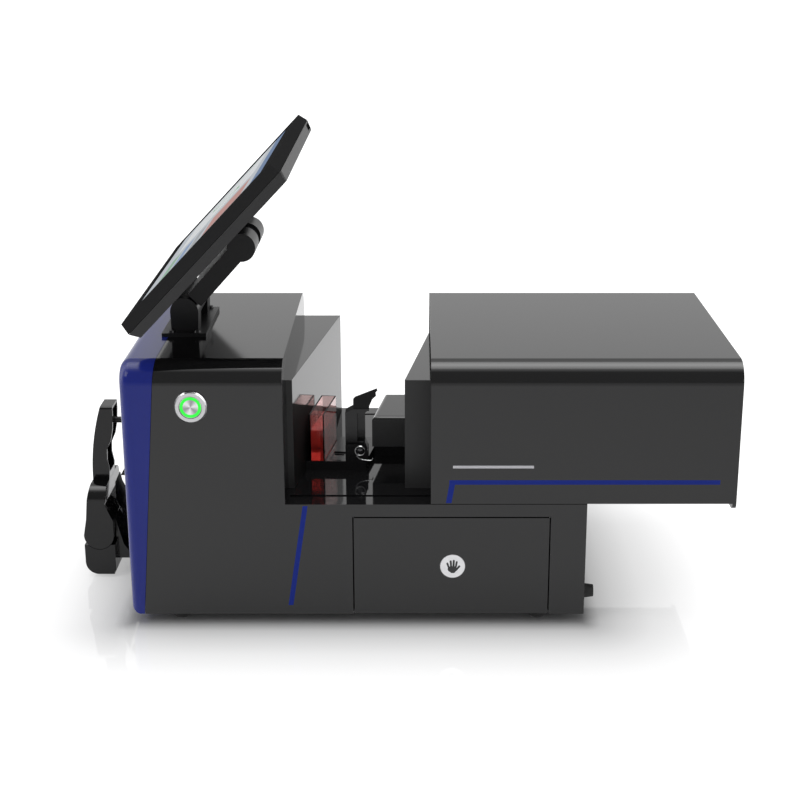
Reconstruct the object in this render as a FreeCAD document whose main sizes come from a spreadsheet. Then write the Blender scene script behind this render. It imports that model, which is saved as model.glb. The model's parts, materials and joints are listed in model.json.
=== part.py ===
import FreeCAD, Part
import Sketcher
import math
import os

# Benchtop spectrophotometer with a sliding sample hood, a tilting display and a front sample clamp.
# Frame: origin on the bench under the middle of the base, +X to the rear, +Y away from the
# button side, +Z up. Millimetres.

Vector = FreeCAD.Vector
document = FreeCAD.newDocument("spectrophotometer")
sheet = document.addObject("Spreadsheet::Sheet", "Sizes")
subparts = []


class Size:
    """A length or an angle: the formula the document works out, and its value now."""

    def __init__(self, formula, value):
        self.formula = formula
        self.value = value

    def __add__(self, other):
        other = as_size(other)
        return Size(f"({self.formula} + {other.formula})", self.value + other.value)

    def __sub__(self, other):
        other = as_size(other)
        return Size(f"({self.formula} - {other.formula})", self.value - other.value)

    def __mul__(self, other):
        other = as_size(other)
        return Size(f"({self.formula} * {other.formula})", self.value * other.value)

    def __truediv__(self, other):
        other = as_size(other)
        return Size(f"({self.formula} / {other.formula})", self.value / other.value)

    def __neg__(self):
        return Size(f"(-{self.formula})", -self.value)

    def __radd__(self, other):
        return as_size(other) + self

    def __rsub__(self, other):
        return as_size(other) - self

    def __rmul__(self, other):
        return as_size(other) * self

    def sine(self):
        return Size(f"sin({self.formula} * 1deg)", math.sin(math.radians(self.value)))

    def cosine(self):
        return Size(f"cos({self.formula} * 1deg)", math.cos(math.radians(self.value)))

    def tangent(self):
        return Size(f"tan({self.formula} * 1deg)", math.tan(math.radians(self.value)))

    def root(self):
        return Size(f"sqrt({self.formula})", math.sqrt(self.value))


def as_size(number):
    return number if isinstance(number, Size) else Size(repr(float(number)), float(number))


def size(name, value):
    """A driving dimension: one named cell of the sheet."""
    row = size.rows = getattr(size, "rows", 0) + 1
    sheet.set(f"A{row}", name)
    sheet.set(f"B{row}", str(value))
    sheet.setAlias(f"B{row}", name)
    return Size(f"Sizes.{name}", float(value))


class Disc:
    """A circle of a sketch."""

    def __init__(self, across, up, radius):
        self.centre = (as_size(across), as_size(up))
        self.radius = as_size(radius)


class Arc:
    """A round stretch of an outline, from the point before it to its own end."""

    def __init__(self, end, centre, radius):
        self.end = end
        self.centre = centre
        self.radius = as_size(radius)


def bind(sketch, kind, place, value):
    """A dimension of the sketch, driven by its formula."""
    number = sketch.addConstraint(Sketcher.Constraint(kind, *place, value.value))
    sketch.setExpression(f"Constraints[{number}]", value.formula)


def flat(point):
    return Vector(as_size(point[0]).value, as_size(point[1]).value, 0)


def draw_disc(sketch, disc):
    circle = sketch.addGeometry(Part.Circle(flat(disc.centre), Vector(0, 0, 1), disc.radius.value), False)
    bind(sketch, "DistanceX", (-1, 1, circle, 3), disc.centre[0])
    bind(sketch, "DistanceY", (-1, 1, circle, 3), disc.centre[1])
    bind(sketch, "Radius", (circle,), disc.radius)


def short_arc(start, end, centre):
    """The arc round the centre from start to end that turns by less than half a turn."""
    first = math.atan2(start.y - centre.y, start.x - centre.x)
    last = math.atan2(end.y - centre.y, end.x - centre.x)
    turn = (last - first) % (2 * math.pi)
    circle = Part.Circle(centre, Vector(0, 0, 1), start.distanceToPoint(centre))
    if turn < math.pi:
        return Part.ArcOfCircle(circle, first, first + turn), True
    return Part.ArcOfCircle(circle, last, last + 2 * math.pi - turn), False


def draw_outline(sketch, outline):
    """A closed outline of points and arcs, each point tied to its formulas."""
    points = [item.end if isinstance(item, Arc) else item for item in outline]
    first = None
    ends = []
    for index, item in enumerate(outline):
        start = flat(points[index - 1])
        end = flat(points[index])
        forward = True
        if isinstance(item, Arc):
            curve, forward = short_arc(start, end, flat(item.centre))
        else:
            curve = Part.LineSegment(start, end)
        piece = sketch.addGeometry(curve, False)
        first = piece if first is None else first
        ends.append((piece, 1, 2) if forward else (piece, 2, 1))
    for index, (piece, begin, finish) in enumerate(ends):
        before, _, last = ends[index - 1]
        sketch.addConstraint(Sketcher.Constraint("Coincident", before, last, piece, begin))
        bind(sketch, "DistanceX", (-1, 1, piece, finish), as_size(points[index][0]))
        bind(sketch, "DistanceY", (-1, 1, piece, finish), as_size(points[index][1]))
        if isinstance(outline[index], Arc):
            bind(sketch, "Radius", (piece,), outline[index].radius)


def new_sketch(body, plane, height, outlines):
    """A sketch parallel to one of the body's own origin planes."""
    sketch = body.newObject("Sketcher::SketchObject", "Sketch")
    support = [feature for feature in body.Origin.OriginFeatures if feature.Role == plane]
    sketch.AttachmentSupport = [(support[0], "")]
    sketch.MapMode = "FlatFace"
    height = -as_size(height) if plane == "XZ_Plane" else as_size(height)
    sketch.setExpression("AttachmentOffset.Base.z", height.formula)
    for outline in outlines:
        if isinstance(outline, Disc):
            draw_disc(sketch, outline)
        else:
            draw_outline(sketch, outline)
    return sketch


def new_body(label):
    body = document.addObject("PartDesign::Body", label)
    body.Label = label
    return body


def feature(body, kind, sketch, low, high):
    made = body.newObject(kind, kind.split("::")[1])
    made.Profile = sketch
    made.setExpression("Length", (as_size(high) - low).formula)
    sketch.Visibility = False
    return made


def pad(body, plane, outlines, low, high):
    """Material between two heights over the plane."""
    start = high if plane == "XZ_Plane" else low
    made = feature(body, "PartDesign::Pad", new_sketch(body, plane, start, outlines), low, high)
    document.recompute()
    return made


def pocket(body, plane, outlines, low, high):
    """A cut between two heights over the plane, which has to take something away."""
    before = body.Shape.Volume
    start = low if plane == "XZ_Plane" else high
    made = feature(body, "PartDesign::Pocket", new_sketch(body, plane, start, outlines), low, high)
    document.recompute()
    if body.Shape.Volume > before - 0.001:
        raise RuntimeError(f"a pocket of {body.Label} cuts nothing")
    return made


def fillet(body, radius, chosen):
    """Round the edges that the test picks."""
    document.recompute()
    names = [f"Edge{number}" for number, edge in enumerate(body.Shape.Edges, 1) if chosen(edge)]
    if not names:
        raise RuntimeError(f"no edge of {body.Label} to round")
    tip = body.Tip
    made = body.newObject("PartDesign::Fillet", "Fillet")
    made.Base = (tip, names)
    made.setExpression("Radius", as_size(radius).formula)
    body.Tip = made
    document.recompute()
    return made


def near(value, target, slack=0.05):
    return abs(value - as_size(target).value) < slack


def runs_along(edge, axis):
    """A straight edge along X (0), Y (1) or Z (2)."""
    if edge.Curve.TypeId != "Part::GeomLine":
        return False
    direction = edge.Vertexes[-1].Point - edge.Vertexes[0].Point
    return all(abs(direction[other]) < 1e-4 for other in range(3) if other != axis)


def middle(edge):
    return edge.CenterOfMass


def turned(label, profile, role="V_Axis"):
    """A body turned round its own Z axis, from points of radius and height."""
    body = new_body(label)
    sketch = new_sketch(body, "XZ_Plane", 0, [profile])
    made = body.newObject("PartDesign::Revolution", "Revolution")
    made.Profile = sketch
    made.ReferenceAxis = (sketch, [role])
    sketch.Visibility = False
    document.recompute()
    return body


def place(thing, x, y, z, axis=(0, 0, 1), angle=0):
    """Set the thing's own frame into the instrument's frame."""
    angle = as_size(angle)
    rotation = FreeCAD.Rotation(Vector(*axis), angle.value)
    spot = Vector(as_size(x).value, as_size(y).value, as_size(z).value)
    thing.Placement = FreeCAD.Placement(spot, rotation)
    thing.setExpression("Placement.Base.x", as_size(x).formula)
    thing.setExpression("Placement.Base.y", as_size(y).formula)
    thing.setExpression("Placement.Base.z", as_size(z).formula)
    if angle.formula.startswith("Sizes") or "Sizes" in angle.formula:
        thing.setExpression("Placement.Rotation.Angle", angle.formula)
    return thing


# A turned body stands along Z; these turn it to point along X or Y.
TO_REAR = ((0, 1, 0), 90)
TO_FRONT = ((0, 1, 0), -90)
TO_BUTTON_SIDE = ((1, 0, 0), 90)


def cylinder(label, radius, length):
    made = document.addObject("Part::Cylinder", label)
    made.Label = label
    made.setExpression("Radius", as_size(radius).formula)
    made.setExpression("Height", as_size(length).formula)
    return made


def cut(label, base, tool):
    made = document.addObject("Part::Cut", label)
    made.Base = base
    made.Tool = tool
    made.Label = label
    return made


def fuse(label, pieces):
    made = document.addObject("Part::MultiFuse", label)
    made.Shapes = pieces
    made.Label = label
    return made


def group(label, pieces):
    """Like pieces that share one node as separate solids."""
    made = document.addObject("Part::Compound", label)
    made.Links = pieces
    made.Label = label
    return made


def keep(thing):
    subparts.append(thing)
    return thing


def rectangle(left, low, right, high):
    return [(left, low), (right, low), (right, high), (left, high)]


def arch(half, low, high, radius):
    """A cross section in Y and Z with its two upper corners rounded."""
    left = -half
    shoulder = high - radius
    return [
        (left, low),
        (half, low),
        (half, shoulder),
        Arc((half - radius, high), (half - radius, shoulder), radius),
        (left + radius, high),
        Arc((left, shoulder), (left + radius, shoulder), radius),
    ]


# Housing sizes
body_width = size("body_width", 240)
base_length = size("base_length", 355)
foot_height = size("foot_height", 8)
deck_height = size("deck_height", 100)
block_height = size("block_height", 212)
block_length = size("block_length", 123)
shoulder_radius = size("shoulder_radius", 17)
wall = size("wall", 3.5)
seam_gap = size("seam_gap", 0.3)
bezel_at_bench = size("bezel_at_bench", 10.2)
bezel_at_top = size("bezel_at_top", 27.3)
bezel_frame = size("bezel_frame", 16)
bezel_edge_radius = size("bezel_edge_radius", 8)
window_radius = size("window_radius", 10)
panel_thickness = size("panel_thickness", 5)
deck_thickness = size("deck_thickness", 3)
deck_rim = size("deck_rim", 1.2)
plate_thickness = size("plate_thickness", 2)

half_width = body_width / 2
front_x = -base_length / 2
rear_x = base_length / 2
block_rear = front_x + block_length
deck_bottom = deck_height - deck_thickness
floor_top = foot_height + plate_thickness
inner_half = half_width - wall
seam_slope = (bezel_at_top - bezel_at_bench) / block_height


def seam_x(height):
    """Where the slanted seam between front bezel and housing lies at a height."""
    return front_x + bezel_at_bench + seam_slope * height


# Optical axis: level with the front port, turned eight degrees to the measuring chamber
optical_rise = size("optical_rise", 28.8)
optical_height = deck_height + optical_rise
optical_tilt = size("optical_tilt", 8)
sphere_setback = size("sphere_setback", 65.5)
sphere_radius = size("sphere_radius", 40)
sphere_wall = size("sphere_wall", 4)
port_radius = size("port_radius", 12.7)
sphere_x = front_x + sphere_setback
tilt_tangent = optical_tilt.tangent()
tilt_sine = optical_tilt.sine()
tilt_cosine = optical_tilt.cosine()

# Measuring chamber
box_near_y = size("box_near_y", 84.5)
box_far_y = size("box_far_y", 114)
box_drop = size("box_drop", 23)
box_top = block_height - box_drop
front_box_near = size("front_box_near", 4.7)
chamber_gap = size("chamber_gap", 86.2)
front_face_near_x = block_rear + front_box_near
rear_face_near_x = front_face_near_x + chamber_gap / tilt_cosine


def face_crossing(face_near_x):
    """Where the optical axis meets a tilted chamber face, seen from above."""
    reach = face_near_x + box_near_y * tilt_tangent + sphere_x * tilt_tangent * tilt_tangent
    x = reach / (1 + tilt_tangent * tilt_tangent)
    return x, -(x - sphere_x) * tilt_tangent


front_port_x, front_port_y = face_crossing(front_face_near_x)
rear_port_x, rear_port_y = face_crossing(rear_face_near_x)


def tilted_point(along, across):
    """A point of the chamber's turned frame, whose origin is the front port."""
    x = front_port_x + along * tilt_cosine + across * tilt_sine
    y = front_port_y - along * tilt_sine + across * tilt_cosine
    return x, y


def in_chamber(thing):
    """Turn a thing into the chamber's frame: first axis from port to receiver, heights kept."""
    return place(thing, front_port_x, front_port_y, 0, (0, 0, -1), optical_tilt)


def on_axis(thing, along):
    """Lay a turned thing on the optical axis, its foot the given way beyond the front port."""
    x, y = tilted_point(along, 0)
    turn = FreeCAD.Rotation(Vector(0, 0, 1), -optical_tilt.value)
    thing.Placement.Rotation = turn * FreeCAD.Rotation(*LEVEL)
    thing.setExpression("Placement.Base.x", x.formula)
    thing.setExpression("Placement.Base.y", y.formula)
    thing.setExpression("Placement.Base.z", optical_height.formula)
    return thing


# A turned thing stands along Z; this lays it along X
LEVEL = (Vector(0, 1, 0), 90)


# Drawer opening in the button side of the base
drawer_rear_inset = size("drawer_rear_inset", 28.6)
drawer_width = size("drawer_width", 151)
drawer_height = size("drawer_height", 80.3)
drawer_lift = size("drawer_lift", 0.5)
drawer_seam = size("drawer_seam", 1)
drawer_low = foot_height + drawer_lift
drawer_high = drawer_low + drawer_height
drawer_x1 = rear_x - drawer_rear_inset
drawer_x0 = drawer_x1 - drawer_width

# Push button on the button side of the front block
button_setback = size("button_setback", 54.2)
button_drop = size("button_drop", 33.2)
button_bezel_radius = size("button_bezel_radius", 12.4)
button_barrel_radius = size("button_barrel_radius", 11)
button_barrel_length = size("button_barrel_length", 26)
button_bezel_proud = size("button_bezel_proud", 2.4)
button_cap_radius = size("button_cap_radius", 8.4)
button_cap_depth = size("button_cap_depth", 8)
button_cap_inset = size("button_cap_inset", 0.5)
button_travel_room = size("button_travel_room", 2.5)
ring_outer_radius = size("ring_outer_radius", 8.1)
ring_inner_radius = size("ring_inner_radius", 5.9)
ring_depth = size("ring_depth", 1.2)
fit_clearance = size("fit_clearance", 0.05)
run_clearance = size("run_clearance", 0.35)
button_x = front_x + button_setback
button_height = block_height - button_drop

# Deck slots and hood runners
runner_y = size("runner_y", 101.5)
slot_width = size("slot_width", 4)
slot_rear_inset = size("slot_rear_inset", 25.5)
slot_rear = rear_x - slot_rear_inset
near_slot_setback = size("near_slot_setback", 2.5)
near_slot_front = block_rear + near_slot_setback
far_slot_setback = size("far_slot_setback", 39.5)
far_slot_front = block_rear + far_slot_setback

# Rear of the base
rear_window_margin = size("rear_window_margin", 9)
rear_window_side = size("rear_window_side", 14)


def housing_shell():
    """Moulded shell: long low base and the tall front block, open at front and below."""
    body = new_body("housing_shell")
    side = [
        (seam_x(foot_height), foot_height),
        (rear_x, foot_height),
        (rear_x, deck_height),
        (block_rear, deck_height),
        (block_rear, block_height),
        (seam_x(block_height), block_height),
    ]
    pad(body, "XZ_Plane", [side], -half_width, half_width)
    top = block_height.value
    reach = half_width.value

    def shoulder(edge):
        return runs_along(edge, 0) and near(middle(edge).z, top) and near(abs(middle(edge).y), reach)

    fillet(body, shoulder_radius, shoulder)
    hollow = arch(inner_half, foot_height - 1, block_height - wall, shoulder_radius - wall)
    pocket(body, "YZ_Plane", [hollow], front_x, block_rear - wall)
    low_hollow = rectangle(-inner_half, foot_height - 1, inner_half, deck_bottom)
    pocket(body, "YZ_Plane", [low_hollow], block_rear - wall - 1, rear_x - wall)
    rebate = half_width - deck_rim
    seat = rectangle(block_rear, -rebate, rear_x - deck_rim, rebate)
    pocket(body, "XY_Plane", [seat], deck_bottom, deck_height)
    seam = drawer_seam
    opening = rectangle(drawer_x0 - seam, foot_height - 1, drawer_x1 + seam, drawer_high + seam)
    pocket(body, "XZ_Plane", [opening], -half_width - 1, -inner_half + 1)
    hole = Disc(button_x, button_height, button_barrel_radius + fit_clearance * 2)
    pocket(body, "XZ_Plane", [hole], -half_width - 1, -inner_half + 1)
    side = inner_half - rear_window_side
    window = rectangle(-side, foot_height + rear_window_margin, side, deck_bottom - rear_window_margin)
    pocket(body, "YZ_Plane", [window], rear_x - wall - 1, rear_x + 1)
    light_hole = Disc(tube_crossing_y, optical_height, tube_radius + wall)
    pocket(body, "YZ_Plane", [light_hole], block_rear - wall - 1, block_rear + 1)
    bosses = []
    for x, y, side in floor_screw_spots():
        inner = inner_half * side - boss_depth * side
        bosses.append(rectangle(x - boss_half, inner, x + boss_half, (inner_half + 1) * side))
    pad(body, "XY_Plane", bosses, floor_top, floor_top + boss_height)
    holes = [Disc(x, y, screw_shank + fit_clearance) for x, y, side in floor_screw_spots()]
    pocket(body, "XY_Plane", holes, floor_top - 0.5, floor_top + 3)
    holes = [Disc(x, y, screw_shank + fit_clearance) for x, y in arm_screw_spots()]
    pocket(body, "XY_Plane", holes, block_height - 1.5, block_height + 1)
    return keep(body)


# Screws of the floor and of the arm's base
screw_radius = size("screw_radius", 2.6)
screw_head = size("screw_head", 1.8)
screw_shank = size("screw_shank", 1.5)
screw_length = size("screw_length", 4)
boss_half = size("boss_half", 5)
boss_depth = size("boss_depth", 10)
boss_height = size("boss_height", 12)
front_boss_inset = size("front_boss_inset", 49.5)
front_boss = front_x + front_boss_inset
middle_boss_inset = size("middle_boss_inset", 22.9)
middle_boss = drawer_x0 - middle_boss_inset
rear_boss_inset = size("rear_boss_inset", 15.5)
rear_boss = rear_x - rear_boss_inset


def floor_screw_spots():
    """Screw places under the floor: position and side."""
    spots = []
    for x in (front_boss, middle_boss, rear_boss):
        for side in (-1, 1):
            spots.append((x, (inner_half - boss_depth / 2) * side, side))
    return spots


def arm_screw_spots():
    """Screw places in the foot of the arm's base."""
    reach_x = post_half
    reach_y = hinge_half + post_foot_rim / 2
    return [(lower_hinge_x + reach_x * side, reach_y * other) for side in (-1, 1) for other in (-1, 1)]


# Light tube from the sphere to the chamber face
tube_radius = size("tube_radius", 15)
tube_wall = size("tube_wall", 2)
tube_crossing_y = -(block_rear - sphere_x) * tilt_tangent


def front_bezel():
    """Blue frame that closes the front, with a slanted seam and rounded front edges."""
    body = new_body("front_bezel")
    side = [
        (front_x, foot_height),
        (seam_x(foot_height) - seam_gap, foot_height),
        (seam_x(block_height) - seam_gap, block_height),
        (front_x, block_height),
    ]
    pad(body, "XZ_Plane", [side], -half_width, half_width)
    top = block_height.value
    reach = half_width.value

    def shoulder(edge):
        straight = runs_along(edge, 0)
        return straight and near(middle(edge).z, top) and near(abs(middle(edge).y), reach)

    fillet(body, shoulder_radius, shoulder)
    front = front_x.value

    def front_rim(edge):
        return all(near(vertex.X, front) for vertex in edge.Vertexes) and near(middle(edge).x, front)

    fillet(body, bezel_edge_radius, front_rim)
    frame = bezel_frame
    window = arch(half_width - frame, foot_height + frame, block_height - frame, window_radius)
    pocket(body, "YZ_Plane", [window], front_x - 1, front_x + bezel_at_top + 1)
    return keep(body)


def front_panel():
    """Dark inset panel inside the bezel, bored for the port housing."""
    body = new_body("front_panel")
    window = arch(
        half_width - bezel_frame - seam_gap,
        foot_height + bezel_frame + seam_gap,
        block_height - bezel_frame - seam_gap,
        window_radius - seam_gap,
    )
    hole = Disc(0, optical_height, port_neck_radius + fit_clearance)
    pad(body, "YZ_Plane", [window, hole], front_x, front_x + panel_thickness)
    return keep(body)


# Front measuring port
port_flange_radius = size("port_flange_radius", 30)
port_proud = size("port_proud", 16)
port_neck_radius = size("port_neck_radius", 24)
port_chamfer = size("port_chamfer", 2.5)
aperture_radius = size("aperture_radius", 20)
aperture_thickness = size("aperture_thickness", 2)
port_face_x = front_x - port_proud


def port_housing():
    """Turned port: a proud flange on the panel and a neck back to the sphere."""
    back = (sphere_radius + sphere_wall) * (sphere_radius + sphere_wall) - port_radius * port_radius
    neck = port_proud + sphere_setback - back.root() - seam_gap
    seat = aperture_radius + fit_clearance
    profile = [
        (port_radius, aperture_thickness),
        (seat, aperture_thickness),
        (seat, 0),
        (port_flange_radius - port_chamfer, 0),
        (port_flange_radius, port_chamfer),
        (port_flange_radius, port_proud),
        (port_neck_radius, port_proud),
        (port_neck_radius, port_proud + panel_thickness),
        (port_radius + sphere_wall, neck),
        (port_radius, neck),
    ]
    return keep(place(turned("port_housing", profile), port_face_x, 0, optical_height, *TO_REAR))


def aperture_plate():
    """Exchangeable measuring aperture, a dished ring in the port's face."""
    opening = port_radius - 2
    profile = [
        (opening, aperture_thickness / 2),
        (port_radius, 0),
        (aperture_radius, 0),
        (aperture_radius, aperture_thickness),
        (opening, aperture_thickness),
    ]
    return keep(place(turned("aperture_plate", profile), port_face_x, 0, optical_height, *TO_REAR))


def half_sphere(label, hole_radius, placement):
    """One flanged half of the integrating sphere, open at its pole, turned in short straight steps."""
    inner = sphere_radius
    outer = sphere_radius + sphere_wall
    inner_pole = (inner * inner - hole_radius * hole_radius).root()
    outer_pole = (outer * outer - hole_radius * hole_radius).root()
    flange = outer + sphere_wall
    flange_height = sphere_wall * 0.75
    flange_foot = (outer * outer - flange_height * flange_height).root()
    profile = [(flange, 0), (flange, flange_height), (flange_foot, flange_height)]
    for share in (0.85, 0.62, 0.34):
        radius = hole_radius + (flange_foot - hole_radius) * share
        profile.append((radius, (outer * outer - radius * radius).root()))
    profile += [(hole_radius, outer_pole), (hole_radius, inner_pole)]
    for share in (0.3, 0.55, 0.76, 0.91, 0.98):
        radius = hole_radius + (inner - hole_radius) * share
        profile.append((radius, (inner * inner - radius * radius).root()))
    profile.append((inner, 0))
    body = turned(label, profile)
    return keep(place(body, sphere_x, 0, optical_height, *placement))


def light_tube():
    """Tube that carries light from the sphere to the chamber, on the turned axis."""
    start = port_reach
    outer = tube_radius
    inner = tube_radius - tube_wall
    body = new_body("light_tube")
    ring = [Disc(0, optical_height, outer), Disc(0, optical_height, inner)]
    pad(body, "YZ_Plane", [ring[0], ring[1]], -start, -window_thickness - seam_gap)
    return keep(in_chamber(body))


window_thickness = size("window_thickness", 3)
sphere_clear = size("sphere_clear", 2)
port_distance = (front_port_x - sphere_x) / tilt_cosine
port_reach = port_distance - sphere_radius - sphere_wall - sphere_clear


def front_chamber_box():
    """Chamber wall on the block's rear face; its inner face is turned eight degrees."""
    body = new_body("front_box_blank")
    far_x = front_face_near_x + (box_near_y + box_far_y) * tilt_tangent
    plan = [
        (block_rear, -box_near_y),
        (front_face_near_x, -box_near_y),
        (far_x, box_far_y),
        (block_rear, box_far_y),
    ]
    pad(body, "XY_Plane", [plan], deck_height, box_top)
    bore = cylinder("front_box_bore", tube_radius + fit_clearance, chamber_gap)
    on_axis(bore, 1 - chamber_gap)
    return keep(cut("front_chamber_box", body, bore))


def chamber_window():
    """Round glass window that closes the light tube flush with the chamber face."""
    body = new_body("chamber_window")
    pad(body, "YZ_Plane", [Disc(0, optical_height, tube_radius)], -window_thickness, 0)
    return keep(in_chamber(body))


def rear_chamber_box():
    """Fixed rear housing that the hood slides over."""
    body = new_body("rear_chamber_box")
    far_x = rear_face_near_x + box_near_y * 2 * tilt_tangent
    rear = rear_x - deck_rim
    plan = [(rear_face_near_x, -box_near_y), (rear, -box_near_y), (rear, box_near_y), (far_x, box_near_y)]
    pad(body, "XY_Plane", [plan], deck_height, box_top)
    return keep(body)


# Receiver on the rear chamber face
receiver_depth = size("receiver_depth", 34.2)
receiver_length = size("receiver_length", 64)
receiver_height = size("receiver_height", 25.4)
receiver_round = size("receiver_round", 3.5)
receiver_lens_radius = size("receiver_lens_radius", 9)
receiver_lens_depth = size("receiver_lens_depth", 4)


def receiver_block():
    """Block that holds the receiving lens, on the face opposite the port."""
    body = new_body("receiver_blank")
    half = receiver_length / 2
    low = optical_height - receiver_height / 2
    high = optical_height + receiver_height / 2
    near_face = rear_face_near_x + (box_near_y - half) * tilt_tangent
    far_face = rear_face_near_x + (box_near_y + half) * tilt_tangent
    reach = receiver_depth / tilt_cosine
    plan = [(near_face - reach, -half), (near_face, -half), (far_face, half), (far_face - reach, half)]
    pad(body, "XY_Plane", [plan], low, high)
    top = high.value
    wall_x = (near_face.value + far_face.value) / 2

    def upper_rim(edge):
        return near(middle(edge).z, top) and not near(middle(edge).x, wall_x, 1)

    fillet(body, receiver_round, upper_rim)
    seat = cylinder("receiver_seat", receiver_lens_radius + fit_clearance, receiver_lens_depth * 2)
    on_axis(seat, chamber_gap - receiver_depth - receiver_lens_depth)
    return keep(cut("receiver_block", body, seat))


def receiver_lens():
    """Plano-convex lens set in the receiver block, its bulge turned in two steps."""
    bulge = receiver_lens_depth / 4
    profile = [
        (0, receiver_lens_depth),
        (receiver_lens_radius, receiver_lens_depth),
        (receiver_lens_radius, bulge),
        (receiver_lens_radius * 0.6, bulge * 0.36),
        (0, 0),
    ]
    body = turned("receiver_lens", profile)
    on_axis(body, chamber_gap - receiver_depth)
    return keep(body)


def bottom_plate():
    """Sheet-metal floor between the walls, with vents under the power supply."""
    body = new_body("bottom_plate")
    edge = inner_half - run_clearance
    front = front_x + bezel_at_bench + seam_slope * foot_height + plate_thickness
    sheet = rectangle(front, -edge, rear_x - wall - run_clearance, edge)
    pad(body, "XY_Plane", [sheet], foot_height, floor_top)
    holes = [Disc(x, y, screw_shank + fit_clearance) for x, y, side in floor_screw_spots()]
    pocket(body, "XY_Plane", holes, foot_height - 1, floor_top + 1)
    first = rectangle(vent_start, vent_y, vent_start + vent_length, vent_y + vent_width)
    slot = pocket(body, "XY_Plane", [first], foot_height - 1, floor_top + 1)
    pattern = body.newObject("PartDesign::LinearPattern", "Vents")
    pattern.Originals = [slot]
    pattern.Direction = (slot.Profile[0], ["V_Axis"])
    pattern.setExpression("Length", (vent_pitch * (vent_count - 1)).formula)
    pattern.Occurrences = int(vent_count.value)
    body.Tip = pattern
    document.recompute()
    return keep(body)


# Vents in the floor
vent_setback = size("vent_setback", 107.5)
vent_start = rear_x - vent_setback
vent_y = size("vent_y", 30)
vent_length = size("vent_length", 60)
vent_width = size("vent_width", 2.5)
vent_pitch = size("vent_pitch", 7)
vent_count = size("vent_count", 9)

# Feet and bumpers
foot_radius = size("foot_radius", 7.3)
foot_dome = size("foot_dome", 1.6)
front_foot_setback = size("front_foot_setback", 37.5)
rear_foot_setback = size("rear_foot_setback", 35.6)
foot_inset = size("foot_inset", 16)
bumper_radius = size("bumper_radius", 6)
bumper_length = size("bumper_length", 9)
bumper_height = size("bumper_height", 19)
bumper_inset = size("bumper_inset", 20)


def foot(label):
    """Rubber foot with a bevelled tread."""
    profile = [
        (0, 0),
        (foot_radius - foot_dome, 0),
        (foot_radius, foot_dome),
        (foot_radius, foot_height),
        (0, foot_height),
    ]
    return turned(label, profile)


def feet():
    """Four rubber feet under the corners of the base."""
    y = half_width - foot_inset
    spots = [(front_x + front_foot_setback, -y), (front_x + front_foot_setback, y)]
    spots += [(rear_x - rear_foot_setback, -y), (rear_x - rear_foot_setback, y)]
    made = [place(foot(f"foot_{number}"), x, y, 0) for number, (x, y) in enumerate(spots, 1)]
    return keep(group("feet", made))


def rear_bumpers():
    """Two tapered rubber bumpers that keep the rear off a wall."""
    made = []
    tip = bumper_radius * 0.8
    for number, side in enumerate((-1, 1), 1):
        profile = [(0, 0), (bumper_radius, 0), (tip, bumper_length), (0, bumper_length)]
        y = (half_width - bumper_inset) * side
        made.append(place(turned(f"bumper_{number}", profile), rear_x, y, bumper_height, *TO_REAR))
    return keep(group("rear_bumpers", made))


def deck_plate():
    """Glossy deck between the front block and the rear, slotted for the hood runners."""
    body = new_body("deck_plate")
    edge = half_width - deck_rim - fit_clearance
    outline = rectangle(block_rear + fit_clearance, -edge, rear_x - deck_rim - fit_clearance, edge)
    near_slot = rectangle(near_slot_front, -runner_y - slot_width / 2, slot_rear, -runner_y + slot_width / 2)
    far_slot = rectangle(far_slot_front, runner_y - slot_width / 2, slot_rear, runner_y + slot_width / 2)
    pad(body, "XY_Plane", [outline, near_slot, far_slot], deck_bottom, deck_height)
    return keep(body)


# Rails under the deck
rail_width = size("rail_width", 15)
rail_depth = size("rail_depth", 12)
rail_wall = size("rail_wall", 2)
runner_foot_width = size("runner_foot_width", 9)
runner_foot_height = size("runner_foot_height", 3.4)


def hood_rail(label, centre, front):
    """Channel under a deck slot that keeps the runner's foot from lifting."""
    body = new_body(label)
    half = rail_width / 2
    low = deck_bottom - rail_depth
    outer = rectangle(centre - half, low, centre + half, deck_bottom)
    pad(body, "YZ_Plane", [outer], front, slot_rear)
    inset = half - rail_wall
    inner = rectangle(centre - inset, low + rail_wall, centre + inset, deck_bottom - rail_wall)
    pocket(body, "YZ_Plane", [inner], front - 1, slot_rear + 1)
    reach = slot_width / 2
    gap = rectangle(centre - reach, deck_bottom - rail_wall - 1, centre + reach, deck_bottom + 1)
    pocket(body, "YZ_Plane", [gap], front - 1, slot_rear + 1)
    return body


def hood_rails():
    """Two rails, one under each deck slot."""
    near_rail = hood_rail("near_rail", -runner_y, near_slot_front)
    far_rail = hood_rail("far_rail", runner_y, far_slot_front)
    return keep(group("hood_rails", [near_rail, far_rail]))


def rear_plate():
    """Metal connector plate behind the rear window, with a punched louvre field."""
    body = new_body("rear_plate")
    side = inner_half - rear_window_side / 2
    low = floor_top + run_clearance
    high = deck_bottom - run_clearance
    pad(body, "YZ_Plane", [rectangle(-side, low, side, high)], rear_x - wall - plate_thickness, rear_x - wall)
    opening = rectangle(switch_y - switch_half, inlet_low, inlet_y + inlet_half, inlet_high)
    pocket(body, "YZ_Plane", [opening], rear_x - wall - plate_thickness - 1, rear_x - wall + 1)
    first = rectangle(louvre_y, louvre_low, louvre_y + vent_width, louvre_low + louvre_length)
    slot = pocket(body, "YZ_Plane", [first], rear_x - wall - plate_thickness - 1, rear_x - wall + 1)
    pattern = body.newObject("PartDesign::LinearPattern", "Louvres")
    pattern.Originals = [slot]
    pattern.Direction = (slot.Profile[0], ["H_Axis"])
    pattern.setExpression("Length", (vent_pitch * (louvre_count - 1)).formula)
    pattern.Occurrences = int(louvre_count.value)
    body.Tip = pattern
    document.recompute()
    return keep(body)


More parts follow.
